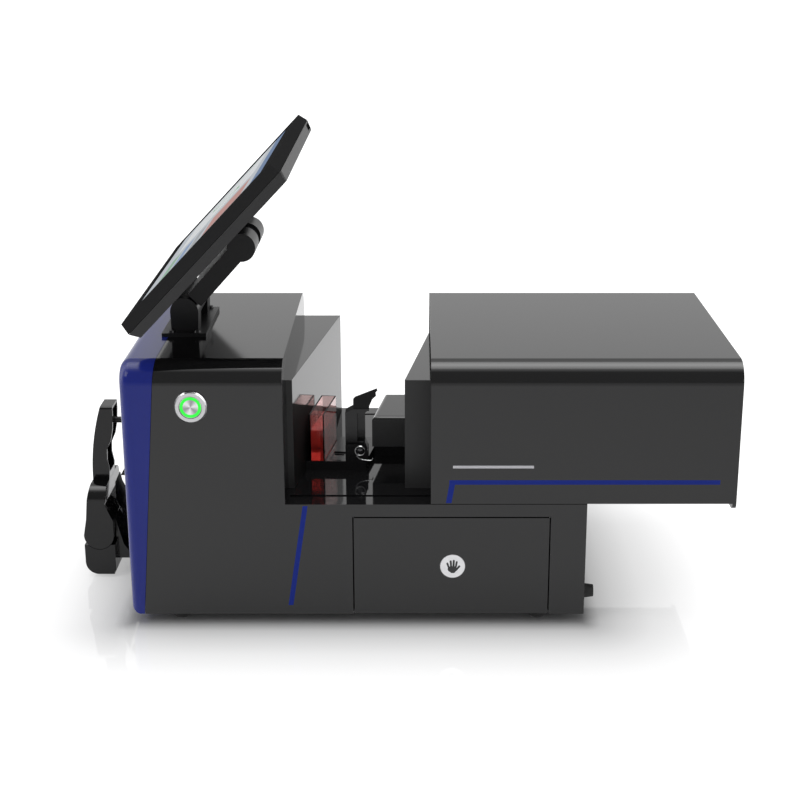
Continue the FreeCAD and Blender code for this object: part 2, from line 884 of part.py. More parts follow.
# Connectors on the rear plate
inlet_y = size("inlet_y", 62)
inlet_half = size("inlet_half", 13.8)
inlet_low = size("inlet_low", 36)
inlet_height = size("inlet_height", 20)
switch_y = size("switch_y", 36)
switch_half = size("switch_half", 8)
louvre_y = size("louvre_y", -90)
louvre_low = size("louvre_low", 30)
louvre_length = size("louvre_length", 40)
louvre_count = size("louvre_count", 11)
flange_rim = size("flange_rim", 3)
flange_thickness = size("flange_thickness", 1.5)
inlet_depth = size("inlet_depth", 22)
inlet_high = inlet_low + inlet_height
rear_plate_x = rear_x - wall


def power_inlet():
    """Mains module: appliance inlet with three blades, beside the frame of the rocker."""
    body = new_body("power_inlet")
    left = switch_y - switch_half
    right = inlet_y + inlet_half
    rim = rectangle(left - flange_rim, inlet_low - flange_rim, right + flange_rim, inlet_high + flange_rim)
    pad(body, "YZ_Plane", [rim], rear_plate_x, rear_plate_x + flange_thickness)
    slack = fit_clearance
    case = rectangle(left + slack, inlet_low + slack, right - slack, inlet_high - slack)
    pad(body, "YZ_Plane", [case], rear_plate_x - inlet_depth, rear_plate_x + slack)
    skin = rail_wall
    start = inlet_y - inlet_half + skin
    recess = rectangle(start, inlet_low + skin, right - skin, inlet_high - skin)
    pocket(body, "YZ_Plane", [recess], rear_plate_x - inlet_depth + skin, rear_plate_x + flange_thickness + 1)
    blades = []
    for offset in (-7, 7):
        blades.append(rectangle(inlet_y + offset - 1, blade_low, inlet_y + offset + 1, blade_low + 5))
    blades.append(rectangle(inlet_y - 1, blade_low + 4.5, inlet_y + 1, blade_low + 9.5))
    pad(body, "YZ_Plane", blades, rear_plate_x - inlet_depth + skin - 0.5, rear_plate_x - 3)
    well = rectangle(switch_y - rocker_half - run_clearance, rocker_low - run_clearance,
                     switch_y + rocker_half + run_clearance, rocker_high + run_clearance)
    pocket(body, "YZ_Plane", [well], rear_plate_x - rocker_depth, rear_plate_x + flange_thickness + 1)
    bore = Disc(rear_plate_x - rocker_axis_depth, rocker_middle, rocker_pin_radius + fit_clearance)
    reach = switch_half - fit_clearance
    pocket(body, "XZ_Plane", [bore], switch_y - reach, switch_y + reach)
    return keep(body)


blade_low = inlet_low + 5


# Mains rocker
rocker_half = size("rocker_half", 5.6)
rocker_inset = size("rocker_inset", 2)
rocker_depth = size("rocker_depth", 10)
rocker_axis_depth = size("rocker_axis_depth", 3)
rocker_pin_radius = size("rocker_pin_radius", 1)
rocker_proud = size("rocker_proud", 2.6)
rocker_low = inlet_low + rocker_inset
rocker_high = inlet_high - rocker_inset
rocker_middle = (inlet_low + inlet_high) / 2


def power_switch():
    """Rocker of the mains switch with its two pivots."""
    body = new_body("power_switch")
    half = (rocker_high - rocker_low) / 2 - rocker_inset / 2
    tip_x = rear_plate_x + rocker_proud
    axis_x = rear_plate_x - rocker_axis_depth
    profile = [
        (axis_x - rocker_inset, rocker_middle - half / 2),
        (axis_x + rocker_inset, rocker_middle - half),
        (tip_x - rocker_inset / 2, rocker_middle - half),
        (tip_x - rocker_inset, rocker_middle),
        (tip_x, rocker_middle + half),
        (axis_x + rocker_inset, rocker_middle + half),
        (axis_x - rocker_inset, rocker_middle + half / 2),
    ]
    pad(body, "XZ_Plane", [profile], switch_y - rocker_half, switch_y + rocker_half)
    pin = Disc(axis_x, rocker_middle, rocker_pin_radius)
    reach = switch_half - fit_clearance * 4
    pad(body, "XZ_Plane", [pin], switch_y - reach, switch_y + reach)
    return keep(body)


# Push button
def button_bezel():
    """Turned metal bezel and barrel of the push button."""
    flange_edge = button_bezel_proud * 0.6
    bore = button_cap_radius + run_clearance
    front = -button_bezel_proud
    profile = [
        (bore, front),
        (button_bezel_radius - 1, front),
        (button_bezel_radius, front + flange_edge),
        (button_bezel_radius, 0),
        (button_barrel_radius, 0),
        (button_barrel_radius, button_barrel_length),
        (0, button_barrel_length),
        (0, button_cap_depth + button_travel_room),
        (bore, button_cap_depth + button_travel_room),
    ]
    return keep(place(turned("button_bezel", profile), button_x, -half_width, button_height, (1, 0, 0), -90))


def button_cap():
    """Metal cap that travels in the bezel, grooved for the light ring."""
    front = -button_bezel_proud + button_cap_inset
    profile = [
        (0, front),
        (ring_inner_radius - fit_clearance, front),
        (ring_inner_radius - fit_clearance, front + ring_depth),
        (ring_outer_radius + fit_clearance, front + ring_depth),
        (ring_outer_radius + fit_clearance, front),
        (button_cap_radius, front),
        (button_cap_radius, button_cap_depth),
        (0, button_cap_depth),
    ]
    return keep(place(turned("button_cap", profile), button_x, -half_width, button_height, (1, 0, 0), -90))


def button_light_ring():
    """Translucent ring that lights up round the cap."""
    front = -button_bezel_proud + button_cap_inset
    profile = [
        (ring_inner_radius, front),
        (ring_outer_radius, front),
        (ring_outer_radius, front + ring_depth),
        (ring_inner_radius, front + ring_depth),
    ]
    ring = turned("button_light_ring", profile)
    return keep(place(ring, button_x, -half_width, button_height, (1, 0, 0), -90))


# Hood
hood_setback = size("hood_setback", 120.1)
hood_travel = size("hood_travel", 110.9)
hood_close_gap = size("hood_close_gap", 0.3)
hood_lift = size("hood_lift", 0.5)
hood_wall = size("hood_wall", 3)
hood_lip_drop = size("hood_lip_drop", 5)
hood_start = rear_x - hood_setback
hood_low = deck_height + hood_lift
hood_end_inner = rear_x + hood_close_gap + hood_travel
runner_rest_inset = size("runner_rest_inset", 77.5)
runner_rest = rear_x - runner_rest_inset
runner_length = size("runner_length", 45)


def hood_shell():
    """Sliding hood: one moulded arch, open below and in front."""
    body = new_body("hood_shell")
    outer = arch(half_width, hood_low, block_height, shoulder_radius)
    pad(body, "YZ_Plane", [outer], hood_start, hood_end_inner)
    inner = arch(half_width - hood_wall, hood_low - 1, block_height - hood_wall, shoulder_radius - hood_wall)
    pocket(body, "YZ_Plane", [inner], hood_start - 1, hood_end_inner + 1)
    return keep(body)


def hood_end_panel():
    """Rear wall of the hood, whose lower lip laps behind the base when shut."""
    body = new_body("hood_end_panel")
    low = hood_low - hood_lip_drop
    outline = arch(half_width, low, block_height, shoulder_radius)
    pad(body, "YZ_Plane", [outline], hood_end_inner, hood_end_inner + hood_wall)
    bottom = low.value
    reach = half_width.value

    def lower_corner(edge):
        return runs_along(edge, 0) and near(middle(edge).z, bottom) and near(abs(middle(edge).y), reach)

    fillet(body, hood_lip_drop, lower_corner)
    return keep(body)


def hood_runner(label, side):
    """Bracket inside the hood wall with a tongue and foot that run in the rail."""
    body = new_body(label)
    inner = half_width - hood_wall
    low = deck_height + run_clearance * 2
    high = low + hood_wall
    half = slot_width / 2 - run_clearance
    foot = runner_foot_width / 2
    foot_low = deck_bottom - rail_depth + rail_wall + run_clearance
    foot_high = foot_low + runner_foot_height
    spread = rail_width / 2
    outline = [
        (inner * side, low),
        (inner * side, high + spread),
        ((inner - hood_wall) * side, high + spread),
        ((inner - hood_wall) * side, high),
        ((runner_y - spread / 2) * side, high),
        ((runner_y - spread / 2) * side, low),
        ((runner_y - half) * side, low),
        ((runner_y - half) * side, foot_high),
        ((runner_y - foot) * side, foot_high),
        ((runner_y - foot) * side, foot_low),
        ((runner_y + foot) * side, foot_low),
        ((runner_y + foot) * side, foot_high),
        ((runner_y + half) * side, foot_high),
        ((runner_y + half) * side, low),
    ]
    pad(body, "YZ_Plane", [outline], runner_rest, runner_rest + runner_length)
    return body


def hood_runners():
    """Two runners, one each side."""
    return keep(group("hood_runners", [hood_runner("near_runner", -1), hood_runner("far_runner", 1)]))


# Sample holder in the chamber
holder_thickness = size("holder_thickness", 7.8)
holder_near = size("holder_near", 44)
holder_far = size("holder_far", 16)
holder_step = size("holder_step", 4.7)
holder_shoulder = size("holder_shoulder", 5.8)
holder_neck = size("holder_neck", 8)
cell_width = size("cell_width", 12.5)
cell_length = size("cell_length", 52.5)
cell_height = size("cell_height", 45)
cell_wall = size("cell_wall", 1.25)
cell_offset = size("cell_offset", 5)
cell_face_gap = size("cell_face_gap", 3.1)
cell_floor = size("cell_floor", 1.8)
cell_clearance = size("cell_clearance", 0.35)
liquid_level = size("liquid_level", 29)
recess_width = size("recess_width", 10)
recess_length = size("recess_length", 24)
recess_depth = size("recess_depth", 1)
holder_top = deck_height + holder_thickness
cell_low = deck_height + cell_floor
cell_near = -(cell_length / 2 + cell_offset)
cell_far = cell_length / 2 - cell_offset

# Spring lever of the sample clip
lever_setback = size("lever_setback", 55)
lever_axis_rise = size("lever_axis_rise", 17.3)
lever_axis_height = deck_height + lever_axis_rise
lever_pin_radius = size("lever_pin_radius", 1.9)
lug_radius = size("lug_radius", 4.6)
lug_thickness = size("lug_thickness", 3)
lever_front = size("lever_front", 11.8)
lever_behind = size("lever_behind", 4)
lever_length = size("lever_length", 33.7)
lever_top = lever_axis_height + lever_length
lever_flare = size("lever_flare", 3.5)
lever_depth = size("lever_depth", 12.6)
lever_skin = size("lever_skin", 2)
lever_web = size("lever_web", 9.6)
lever_foot = size("lever_foot", 6.2)
link_reach = size("link_reach", 6.5)
tab_lean = size("tab_lean", 20)
tab_setback = size("tab_setback", 6.4)
tab_width = size("tab_width", 12.8)
tab_height = size("tab_height", 16.4)
tab_reach = size("tab_reach", 19.8)
pin_overhang = size("pin_overhang", 5)
spring_wire = size("spring_wire", 0.6)
spring_turns = size("spring_turns", 3)
lever_axis = block_rear + lever_setback
lever_left = lever_axis - lever_front
lever_right = lever_axis + lever_behind
holder_right = lever_axis + holder_step
lever_near = -holder_near + lug_thickness + cell_clearance
lever_far = lever_near + lever_depth
lug_spans = (
    (-holder_near, -holder_near + lug_thickness),
    (lever_far + cell_clearance, lever_far + cell_clearance + lug_thickness),
)


def tilted_rectangle(left, near_end, right, far_end):
    """A rectangle of the chamber's turned frame as four points of the instrument's frame."""
    return [tilted_point(*corner) for corner in rectangle(left, near_end, right, far_end)]


def chamber_face(face_near_x, y):
    """X of a tilted chamber face at a given Y."""
    return face_near_x + (as_size(y) + box_near_y) * tilt_tangent


def sample_holder():
    """Holder plate on the deck with the cell's well, a framed recess and the lever's lugs."""
    body = new_body("sample_holder")
    far = holder_far
    neck_x = holder_right + holder_shoulder
    plan = [
        (chamber_face(front_face_near_x, -holder_near) + seam_gap, -holder_near),
        (holder_right, -holder_near),
        (neck_x, -holder_neck),
        (chamber_face(rear_face_near_x, -holder_neck) - seam_gap, -holder_neck),
        (chamber_face(rear_face_near_x, far) - seam_gap, far),
        (chamber_face(front_face_near_x, far) + seam_gap, far),
    ]
    pad(body, "XY_Plane", [plan], deck_height, holder_top)
    gap = cell_clearance
    well = tilted_rectangle(-1, cell_near - gap, cell_face_gap + cell_width + gap, cell_far + gap)
    pocket(body, "XY_Plane", [well], cell_low - gap, holder_top + 1)
    left = cell_face_gap + cell_width + wall
    right = left + recess_width
    recess = tilted_rectangle(left, cell_near + 2, right, cell_near + recess_length)
    pocket(body, "XY_Plane", [recess], holder_top - recess_depth, holder_top + 1)
    slots = []
    for across in (cell_near + wall, cell_near + recess_length - wall - 3):
        slots.append(tilted_rectangle(left + 1, across, right - 1, across + 3))
    pocket(body, "XY_Plane", slots, holder_top - recess_depth * 3, holder_top - recess_depth + 0.5)
    axis = lever_axis
    for number, (low, high) in enumerate(lug_spans):
        right_foot = axis + link_reach
        lug = [
            (right_foot, holder_top - 1),
            (right_foot, lever_axis_height),
            (axis + lug_radius, lever_axis_height),
            Arc((axis, lever_axis_height + lug_radius), (axis, lever_axis_height), lug_radius),
        ]
        if number == 0:
            lug += [(lever_left, lever_axis_height + lug_radius), (lever_left, holder_top - 1)]
        else:
            lug.append(Arc((axis - lug_radius, lever_axis_height), (axis, lever_axis_height), lug_radius))
            lug.append((axis - lug_radius, holder_top - 1))
        pad(body, "XZ_Plane", [lug], low, high)
    bore = Disc(axis, lever_axis_height, lever_pin_radius + fit_clearance)
    pocket(body, "XZ_Plane", [bore], lug_spans[0][0] - 1, lug_spans[1][1] + 1)
    return keep(body)


def clip_lever():
    """Channel-shaped lever on the pin that presses a sample to the port face."""
    body = new_body("clip_blade")
    foot = lever_foot
    axis = lever_axis
    blade = [
        (lever_right, lever_axis_height + foot),
        (lever_right, lever_top - lever_flare),
        (lever_right + lever_flare, lever_top),
        (lever_left + tab_setback, lever_top),
        (lever_left, lever_top - lever_flare),
        (lever_left, lever_axis_height),
        (axis - foot, lever_axis_height),
        Arc((axis, lever_axis_height - foot), (axis, lever_axis_height), foot),
        Arc((axis + foot, lever_axis_height), (axis, lever_axis_height), foot),
    ]
    pad(body, "XZ_Plane", [blade], lever_near, lever_far)
    channel = rectangle(lever_left + lever_web, lever_near - 1, lever_right + 1, lever_near + lever_skin * 3)
    pocket(body, "XY_Plane", [channel], lever_axis_height + foot, lever_top - lever_flare)
    bore = Disc(axis, lever_axis_height, lever_pin_radius + fit_clearance)
    pocket(body, "XZ_Plane", [bore], lever_near - 1, lever_far + 1)
    tab = new_body("clip_tab")
    shape = [
        (0, -lever_skin),
        (tab_width, -lever_skin),
        (tab_width + 0.3, tab_height * 0.13),
        (tab_width + 2.7, tab_height * 0.46),
        (tab_reach - 1.2, tab_height * 0.63),
        (tab_reach - 1.6, tab_height * 0.8),
        (tab_reach, tab_height * 0.9),
        (tab_reach - 0.8, tab_height),
        (1.6, tab_height * 0.59),
        (0, tab_height * 0.48),
    ]
    pad(tab, "XZ_Plane", [shape], 0, lever_skin)
    place(tab, lever_left + tab_setback, lever_near + lever_skin, lever_top, (-1, 0, 0), tab_lean)
    return keep(fuse("clip_lever", [body, tab]))


def clip_pin():
    """Polished pin with a domed head through the lugs and the lever."""
    head = lever_pin_radius * 1.8
    start = -lug_spans[1][1] - pin_overhang
    face = holder_near + fit_clearance
    profile = [
        (0, start),
        (lever_pin_radius, start),
        (lever_pin_radius, face),
        (head, face),
        (head, face + 0.4),
        (head * 0.62, face + 0.4 + head * 0.38),
        (0, face + 0.4 + head * 0.5),
    ]
    return keep(place(turned("clip_pin", profile), lever_axis, 0, lever_axis_height, *TO_BUTTON_SIDE))


def clip_spring():
    """Torsion spring round the pin behind the lug, with one leg down to the holder."""
    coil = lever_pin_radius + fit_clearance + spring_wire + 0.1
    pieces = []
    far_face = lug_spans[1][1]
    for number in range(int(spring_turns.value)):
        turn = [
            (coil - spring_wire, 0),
            (coil - spring_wire / 2, -spring_wire),
            (coil + spring_wire / 2, -spring_wire),
            (coil + spring_wire, 0),
            (coil + spring_wire / 2, spring_wire),
            (coil - spring_wire / 2, spring_wire),
        ]
        y = far_face + spring_wire * (1.9 * number + 1.1)
        ring = turned(f"spring_turn_{number}", turn)
        pieces.append(place(ring, lever_axis, y, lever_axis_height, *TO_BUTTON_SIDE))
    leg_length = lever_axis_height - holder_top
    leg = cylinder("spring_leg", spring_wire, leg_length)
    place(leg, lever_axis + coil, far_face + spring_wire * 1.1, holder_top)
    pieces.append(leg)
    return keep(fuse("clip_spring", pieces))


def cuvette():
    """Clear cell for liquid samples, open at the top."""
    body = new_body("cuvette")
    left = cell_face_gap
    right = cell_face_gap + cell_width
    top = cell_low + cell_height
    pad(body, "XY_Plane", [rectangle(left, cell_near, right, cell_far)], cell_low, top)
    inside = rectangle(left + cell_wall, cell_near + cell_wall, right - cell_wall, cell_far - cell_wall)
    pocket(body, "XY_Plane", [inside], cell_low + cell_wall * 2, top + 1)
    return keep(in_chamber(body))


def sample_liquid():
    """Red sample liquid that fills the cell."""
    body = new_body("sample_liquid")
    skin = cell_wall + fit_clearance
    left = cell_face_gap + skin
    right = cell_face_gap + cell_width - skin
    low = cell_low + cell_wall * 2 + fit_clearance
    outline = rectangle(left, cell_near + skin, right, cell_far - skin)
    pad(body, "XY_Plane", [outline], low, cell_low + cell_wall * 2 + liquid_level)
    return keep(in_chamber(body))


# Drawer
tray_inset = size("tray_inset", 6)
tray_depth = size("tray_depth", 92)
tray_height = size("tray_height", 50)
tray_wall = size("tray_wall", 2)
tray_lift = size("tray_lift", 3)
tray_rail_height = size("tray_rail_height", 8)
badge_radius = size("badge_radius", 9.7)
badge_thickness = size("badge_thickness", 0.4)
badge_inset = size("badge_inset", 76.5)
badge_rise = size("badge_rise", 40.2)
badge_x = drawer_x0 + badge_inset
badge_height = drawer_low + badge_rise
tray_low = floor_top + tray_lift
tray_back = -inner_half + tray_depth


def drawer_front():
    """Flush drawer front in the side wall."""
    body = new_body("drawer_front")
    outline = rectangle(drawer_x0, drawer_low, drawer_x1, drawer_high)
    pad(body, "XZ_Plane", [outline], -half_width, -inner_half - seam_gap)
    return keep(body)


def drawer_tray():
    """Open tray behind the drawer front for the tiles and apertures."""
    body = new_body("drawer_tray")
    left = drawer_x0 + tray_inset
    right = drawer_x1 - tray_inset
    front = -inner_half - seam_gap
    pad(body, "XY_Plane", [rectangle(left, front, right, tray_back)], tray_low, tray_low + tray_height)
    inside = rectangle(left + tray_wall, front + tray_wall, right - tray_wall, tray_back - tray_wall)
    pocket(body, "XY_Plane", [inside], tray_low + tray_wall, tray_low + tray_height + 1)
    return keep(body)


def drawer_rails():
    """Two guide angles on the floor beside the tray."""
    made = []
    left = drawer_x0 + tray_inset - rail_gap
    right = drawer_x1 - tray_inset + rail_gap
    for label, x0, x1 in (
        ("left_drawer_rail", left - rail_wall, left),
        ("right_drawer_rail", right, right + rail_wall),
    ):
        body = new_body(label)
        front = -inner_half + rail_wall * 2
        high = tray_low + tray_rail_height
        pad(body, "XY_Plane", [rectangle(x0, front, x1, tray_back)], floor_top, high)
        side = 1 if label.startswith("left") else -1
        edge = x1 if side == 1 else x0
        shelf = [
            (edge - rail_wall * side, floor_top),
            (edge + rail_wall * 2 * side, floor_top),
            (edge + rail_wall * 2 * side, tray_low - run_clearance),
            (edge - rail_wall * side, tray_low - run_clearance),
        ]
        pad(body, "XZ_Plane", [shelf], front, tray_back)
        made.append(body)
    return keep(group("drawer_rails", made))


rail_gap = size("rail_gap", 0.5)


def drawer_badge():
    """Round white pictogram disc on the drawer front."""
    body = new_body("drawer_badge")
    disc = Disc(badge_x, badge_height, badge_radius)
    pad(body, "XZ_Plane", [disc], -half_width - badge_thickness, -half_width)
    return keep(body)


# Calibration pieces in the drawer
tile_radius = size("tile_radius", 24)
tile_height = size("tile_height", 14)
tile_bore = size("tile_bore", 17)
tile_dish = size("tile_dish", 2)
tile_spacing = size("tile_spacing", 34)
tray_middle_x = (drawer_x0 + drawer_x1) / 2
tray_floor = tray_low + tray_wall


def tile_mount():
    """Turned holder of the white tile."""
    profile = [
        (0, 0),
        (tile_radius, 0),
        (tile_radius, tile_height),
        (tile_bore, tile_height),
        (tile_bore, tile_height - tile_dish * 2),
        (0, tile_height - tile_dish * 2),
    ]
    y = tray_back - tray_wall - tile_radius - rail_wall
    return keep(place(turned("white_tile_holder", profile), tray_middle_x - tile_spacing, y, tray_floor))


def white_tile():
    """White ceramic calibration tile."""
    thickness = tile_dish
    profile = [
        (0, 0),
        (tile_bore - fit_clearance, 0),
        (tile_bore - fit_clearance, thickness),
        (0, thickness),
    ]
    y = tray_back - tray_wall - tile_radius - rail_wall
    height = tray_floor + tile_height - tile_dish * 2
    return keep(place(turned("white_tile", profile), tray_middle_x - tile_spacing, y, height))


def black_trap():
    """Light trap for the dark calibration, a cup with a deep bore."""
    profile = [
        (0, 0),
        (tile_radius, 0),
        (tile_radius, tile_height * 2),
        (tile_bore, tile_height * 2),
        (tile_bore, tile_dish * 2),
        (0, tile_dish * 2),
    ]
    y = tray_back - tray_wall - tile_radius - rail_wall
    return keep(place(turned("black_trap", profile), tray_middle_x + tile_spacing, y, tray_floor))


# Display and its arm
display_width = size("display_width", 276)
display_length = size("display_length", 166)
display_below = size("display_below", 81.2)
display_tilt = size("display_tilt", 46.4)
display_front = size("display_front", 31.8)
display_frame_depth = size("display_frame_depth", 9)
display_shell_depth = size("display_shell_depth", 8)
display_flare = size("display_flare", 1.6)
display_taper = size("display_taper", 3.2)
display_border = size("display_border", 16)
display_chin = size("display_chin", 13)
glass_thickness = size("glass_thickness", 2)
glass_inset = size("glass_inset", 0.6)
display_round = size("display_round", 2.6)
upper_hinge_setback = size("upper_hinge_setback", 86.4)
upper_hinge_rise = size("upper_hinge_rise", 70.3)
arm_length = size("arm_length", 69.8)
arm_angle = size("arm_angle", 47.8)
hinge_radius = size("hinge_radius", 11.2)
hinge_half = size("hinge_half", 36)
inner_knuckle_half = size("inner_knuckle_half", 8)
lower_knuckle_half = size("lower_knuckle_half", 20)
small_knuckle_radius = size("small_knuckle_radius", 9.4)
arm_half_thickness = size("arm_half_thickness", 7)
hinge_pin_radius = size("hinge_pin_radius", 3)
hinge_gap = size("hinge_gap", 0.35)
hinge_cap = size("hinge_cap", 3)
post_half = size("post_half", 10.6)
post_foot_height = size("post_foot_height", 3)
post_foot_rim = size("post_foot_rim", 7)
upper_hinge_x = front_x + upper_hinge_setback
upper_hinge_height = block_height + upper_hinge_rise
lower_hinge_x = upper_hinge_x - arm_length * arm_angle.cosine()
lower_hinge_height = upper_hinge_height - arm_length * arm_angle.sine()
display_low = -display_below
display_high = display_length - display_below
display_half = display_width / 2
parting = display_front - display_frame_depth
display_back_height = parting - display_shell_depth


def in_display(thing):
    """Turn a thing into the display's frame: first axis up the screen, third out of it."""
    return place(thing, upper_hinge_x, 0, upper_hinge_height, (0, -1, 0), display_tilt)


def slab(label, start, finish, lean):
    """A plate in the display's frame whose rim leans inwards by the given amount."""
    body = new_body(label)
    outline = rectangle(display_low, -display_half, display_high, display_half)
    sketch = new_sketch(body, "XY_Plane", start, [outline])
    made = body.newObject("PartDesign::Pad", "Pad")
    made.Profile = sketch
    made.Reversed = finish.value < start.value
    depth = start - finish if made.Reversed else finish - start
    made.setExpression("Length", depth.formula)
    made.setExpression("TaperAngle", f"-atan({lean.formula} / {depth.formula})")
    sketch.Visibility = False
    document.recompute()
    return body


def corner_posts(edge):
    """The four slanted corner edges of a display slab."""
    reach_y = display_half.value * 0.9
    mid = middle(edge)
    beyond = mid.x < display_low.value * 0.8 or mid.x > display_high.value * 0.8
    far_enough = abs(mid.y) > reach_y and beyond
    return far_enough and abs(edge.Vertexes[-1].Z - edge.Vertexes[0].Z) > 1


def display_frame():
    """Front half of the display case, flaring back to the parting line."""
    body = slab("display_frame", parting + seam_gap, display_front, display_flare)
    fillet(body, display_round, corner_posts)
    inner = rectangle(
        display_low + display_chin, -display_half + display_border, display_high - display_chin,
        display_half - display_border)
    pocket(body, "XY_Plane", [inner], display_front - glass_thickness - glass_inset, display_front + 1)
    return keep(in_display(body))


def display_screen():
    """Glass touch screen let into the frame."""
    body = new_body("display_screen")
    chin = display_chin + seam_gap
    half = display_half - display_border - seam_gap
    inner = rectangle(display_low + chin, -half, display_high - chin, half)
    low = display_front - glass_thickness - glass_inset
    pad(body, "XY_Plane", [inner], low, low + glass_thickness)
    return keep(in_display(body))


def display_back():
    """Rear shell of the display case, tapered inwards, with the socket recess on its top end."""
    body = slab("display_back", parting, display_back_height, display_taper)
    fillet(body, display_round, corner_posts)
    notch_low = display_half - socket_inset - socket_width
    notch_high = display_half - socket_inset
    step = rectangle(display_high - socket_depth, notch_low, display_high + 1, notch_high)
    pocket(body, "XY_Plane", [step], display_back_height + display_taper * 0.6, parting - display_taper * 0.4)
    return keep(in_display(body))


socket_inset = size("socket_inset", 6)
socket_width = size("socket_width", 22)
socket_depth = size("socket_depth", 5)


def display_bracket():
    """Bracket on the display's back with the middle knuckle of the upper hinge."""
    body = new_body("display_bracket")
    plate_low = display_back_height - bracket_thickness
    half = hinge_half - post_foot_rim
    outline = rectangle(-bracket_half, -half, bracket_half, half)
    pad(body, "XY_Plane", [outline], plate_low, display_back_height)
    knuckle_half = inner_knuckle_half - hinge_gap
    neck = small_knuckle_radius
    pad(body, "XZ_Plane", [Disc(0, 0, small_knuckle_radius)], -knuckle_half, knuckle_half)
    web = rectangle(-neck * 0.7, 0, neck * 0.7, plate_low + 0.5)
    pad(body, "XZ_Plane", [web], -knuckle_half, knuckle_half)
    bore = Disc(0, 0, hinge_pin_radius + fit_clearance)
    pocket(body, "XZ_Plane", [bore], -knuckle_half - 1, knuckle_half + 1)
    return keep(in_display(body))


bracket_half = size("bracket_half", 26)
bracket_thickness = size("bracket_thickness", 2.6)


def in_arm(thing):
    """Turn a thing into the arm's frame: first axis from the lower hinge to the upper one."""
    return place(thing, lower_hinge_x, 0, lower_hinge_height, (0, -1, 0), arm_angle)


def arm_link():
    """Arm between the two hinges, with one broad lower knuckle and two upper ones."""
    body = new_body("arm_link")
    lower = lower_knuckle_half - hinge_gap
    pad(body, "XZ_Plane", [Disc(0, 0, hinge_radius)], -lower, lower)
    start = hinge_radius + hinge_gap * 4
    neck = rectangle(0, -arm_half_thickness, start + 1, arm_half_thickness)
    pad(body, "XZ_Plane", [neck], -lower, lower)
    finish_x = arm_length - hinge_radius - hinge_gap * 2
    web = rectangle(start, -arm_half_thickness, finish_x, arm_half_thickness)
    pad(body, "XZ_Plane", [web], -hinge_half, hinge_half)
    for low, high in ((-hinge_half, -inner_knuckle_half), (inner_knuckle_half, hinge_half)):
        cheek = rectangle(finish_x - 1, -arm_half_thickness, arm_length, arm_half_thickness)
        pad(body, "XZ_Plane", [cheek], low, high)
        pad(body, "XZ_Plane", [Disc(arm_length, 0, hinge_radius)], low, high)
    bore_radius = hinge_pin_radius + fit_clearance
    bores = [Disc(0, 0, bore_radius), Disc(arm_length, 0, bore_radius)]
    pocket(body, "XZ_Plane", bores, hinge_cap - hinge_half, hinge_half - hinge_cap)
    return keep(in_arm(body))


def arm_base():
    """Bracket on the block's top whose two round cheeks carry the lower hinge."""
    body = new_body("arm_base")
    drop = lower_hinge_height - block_height
    foot = post_half + post_foot_rim
    foot_reach = hinge_half + post_foot_rim
    pad(body, "XY_Plane", [rectangle(-foot, -foot_reach, foot, foot_reach)], -drop, -drop + post_foot_height)
    for low, high in ((-hinge_half, -lower_knuckle_half), (lower_knuckle_half, hinge_half)):
        cheek = [
            (post_half, -drop + post_foot_height / 2),
            (hinge_radius, 0),
            Arc((0, hinge_radius), (0, 0), hinge_radius),
            Arc((-hinge_radius, 0), (0, 0), hinge_radius),
            (-post_half, -drop + post_foot_height / 2),
        ]
        pad(body, "XZ_Plane", [cheek], low, high)
    bore = Disc(0, 0, hinge_pin_radius + fit_clearance)
    pocket(body, "XZ_Plane", [bore], hinge_cap - hinge_half, hinge_half - hinge_cap)
    holes = [Disc(x - lower_hinge_x, y, screw_shank + fit_clearance) for x, y in arm_screw_spots()]
    pocket(body, "XY_Plane", holes, -drop - 1, -drop + post_foot_height + 1)
    return keep(place(body, lower_hinge_x, 0, lower_hinge_height))


def hinge_pins():
    """Two steel hinge pins in the blind bores of their barrels."""
    length = (hinge_half - hinge_cap - hinge_gap) * 2
    spots = (
        ("lower_hinge_pin", lower_hinge_x, lower_hinge_height),
        ("upper_hinge_pin", upper_hinge_x, upper_hinge_height),
    )
    made = []
    for label, x, z in spots:
        made.append(place(cylinder(label, hinge_pin_radius, length), x, length / 2, z, *TO_BUTTON_SIDE))
    return keep(group("hinge_pins", made))


# Front sample clamp
clamp_reach = size("clamp_reach", 40.9)
clamp_pivot_height = size("clamp_pivot_height", 38)
clamp_half = size("clamp_half", 33)
clamp_knuckle_radius = size("clamp_knuckle_radius", 12.4)
clamp_arm_half = size("clamp_arm_half", 11.5)
clamp_waist_height = size("clamp_waist_height", 80)
clamp_top_rise = size("clamp_top_rise", 14.8)
clamp_top_height = optical_height + clamp_top_rise
clamp_skin = size("clamp_skin", 2.2)
clamp_edge_round = size("clamp_edge_round", 2.4)
clamp_shoulder_round = size("clamp_shoulder_round", 12)
clamp_cradle_round = size("clamp_cradle_round", 11)
clamp_rib_half = size("clamp_rib_half", 4.5)
clamp_pin_cap = size("clamp_pin_cap", 3)
clamp_low = size("clamp_low", 3)
clamp_bow_radius = size("clamp_bow_radius", 211)
clamp_gap = size("clamp_gap", 0.4)
clamp_pin_radius = size("clamp_pin_radius", 3)
clamp_seam_drop = size("clamp_seam_drop", 8.6)
clamp_lug_near = size("clamp_lug_near", 14)
clamp_lug_width = size("clamp_lug_width", 5)
clamp_lug_radius = size("clamp_lug_radius", 6.5)
disc_radius = size("disc_radius", 6)
disc_thickness = size("disc_thickness", 1.2)
pad_radius = size("pad_radius", 8)
pad_thickness = size("pad_thickness", 1.6)
nub_radius = size("nub_radius", 2.6)
nub_depth = size("nub_depth", 5)
pivot_x = front_x - clamp_reach
pivot_z = clamp_pivot_height
clamp_front = pivot_x - clamp_knuckle_radius
clamp_back = pivot_x + clamp_knuckle_radius


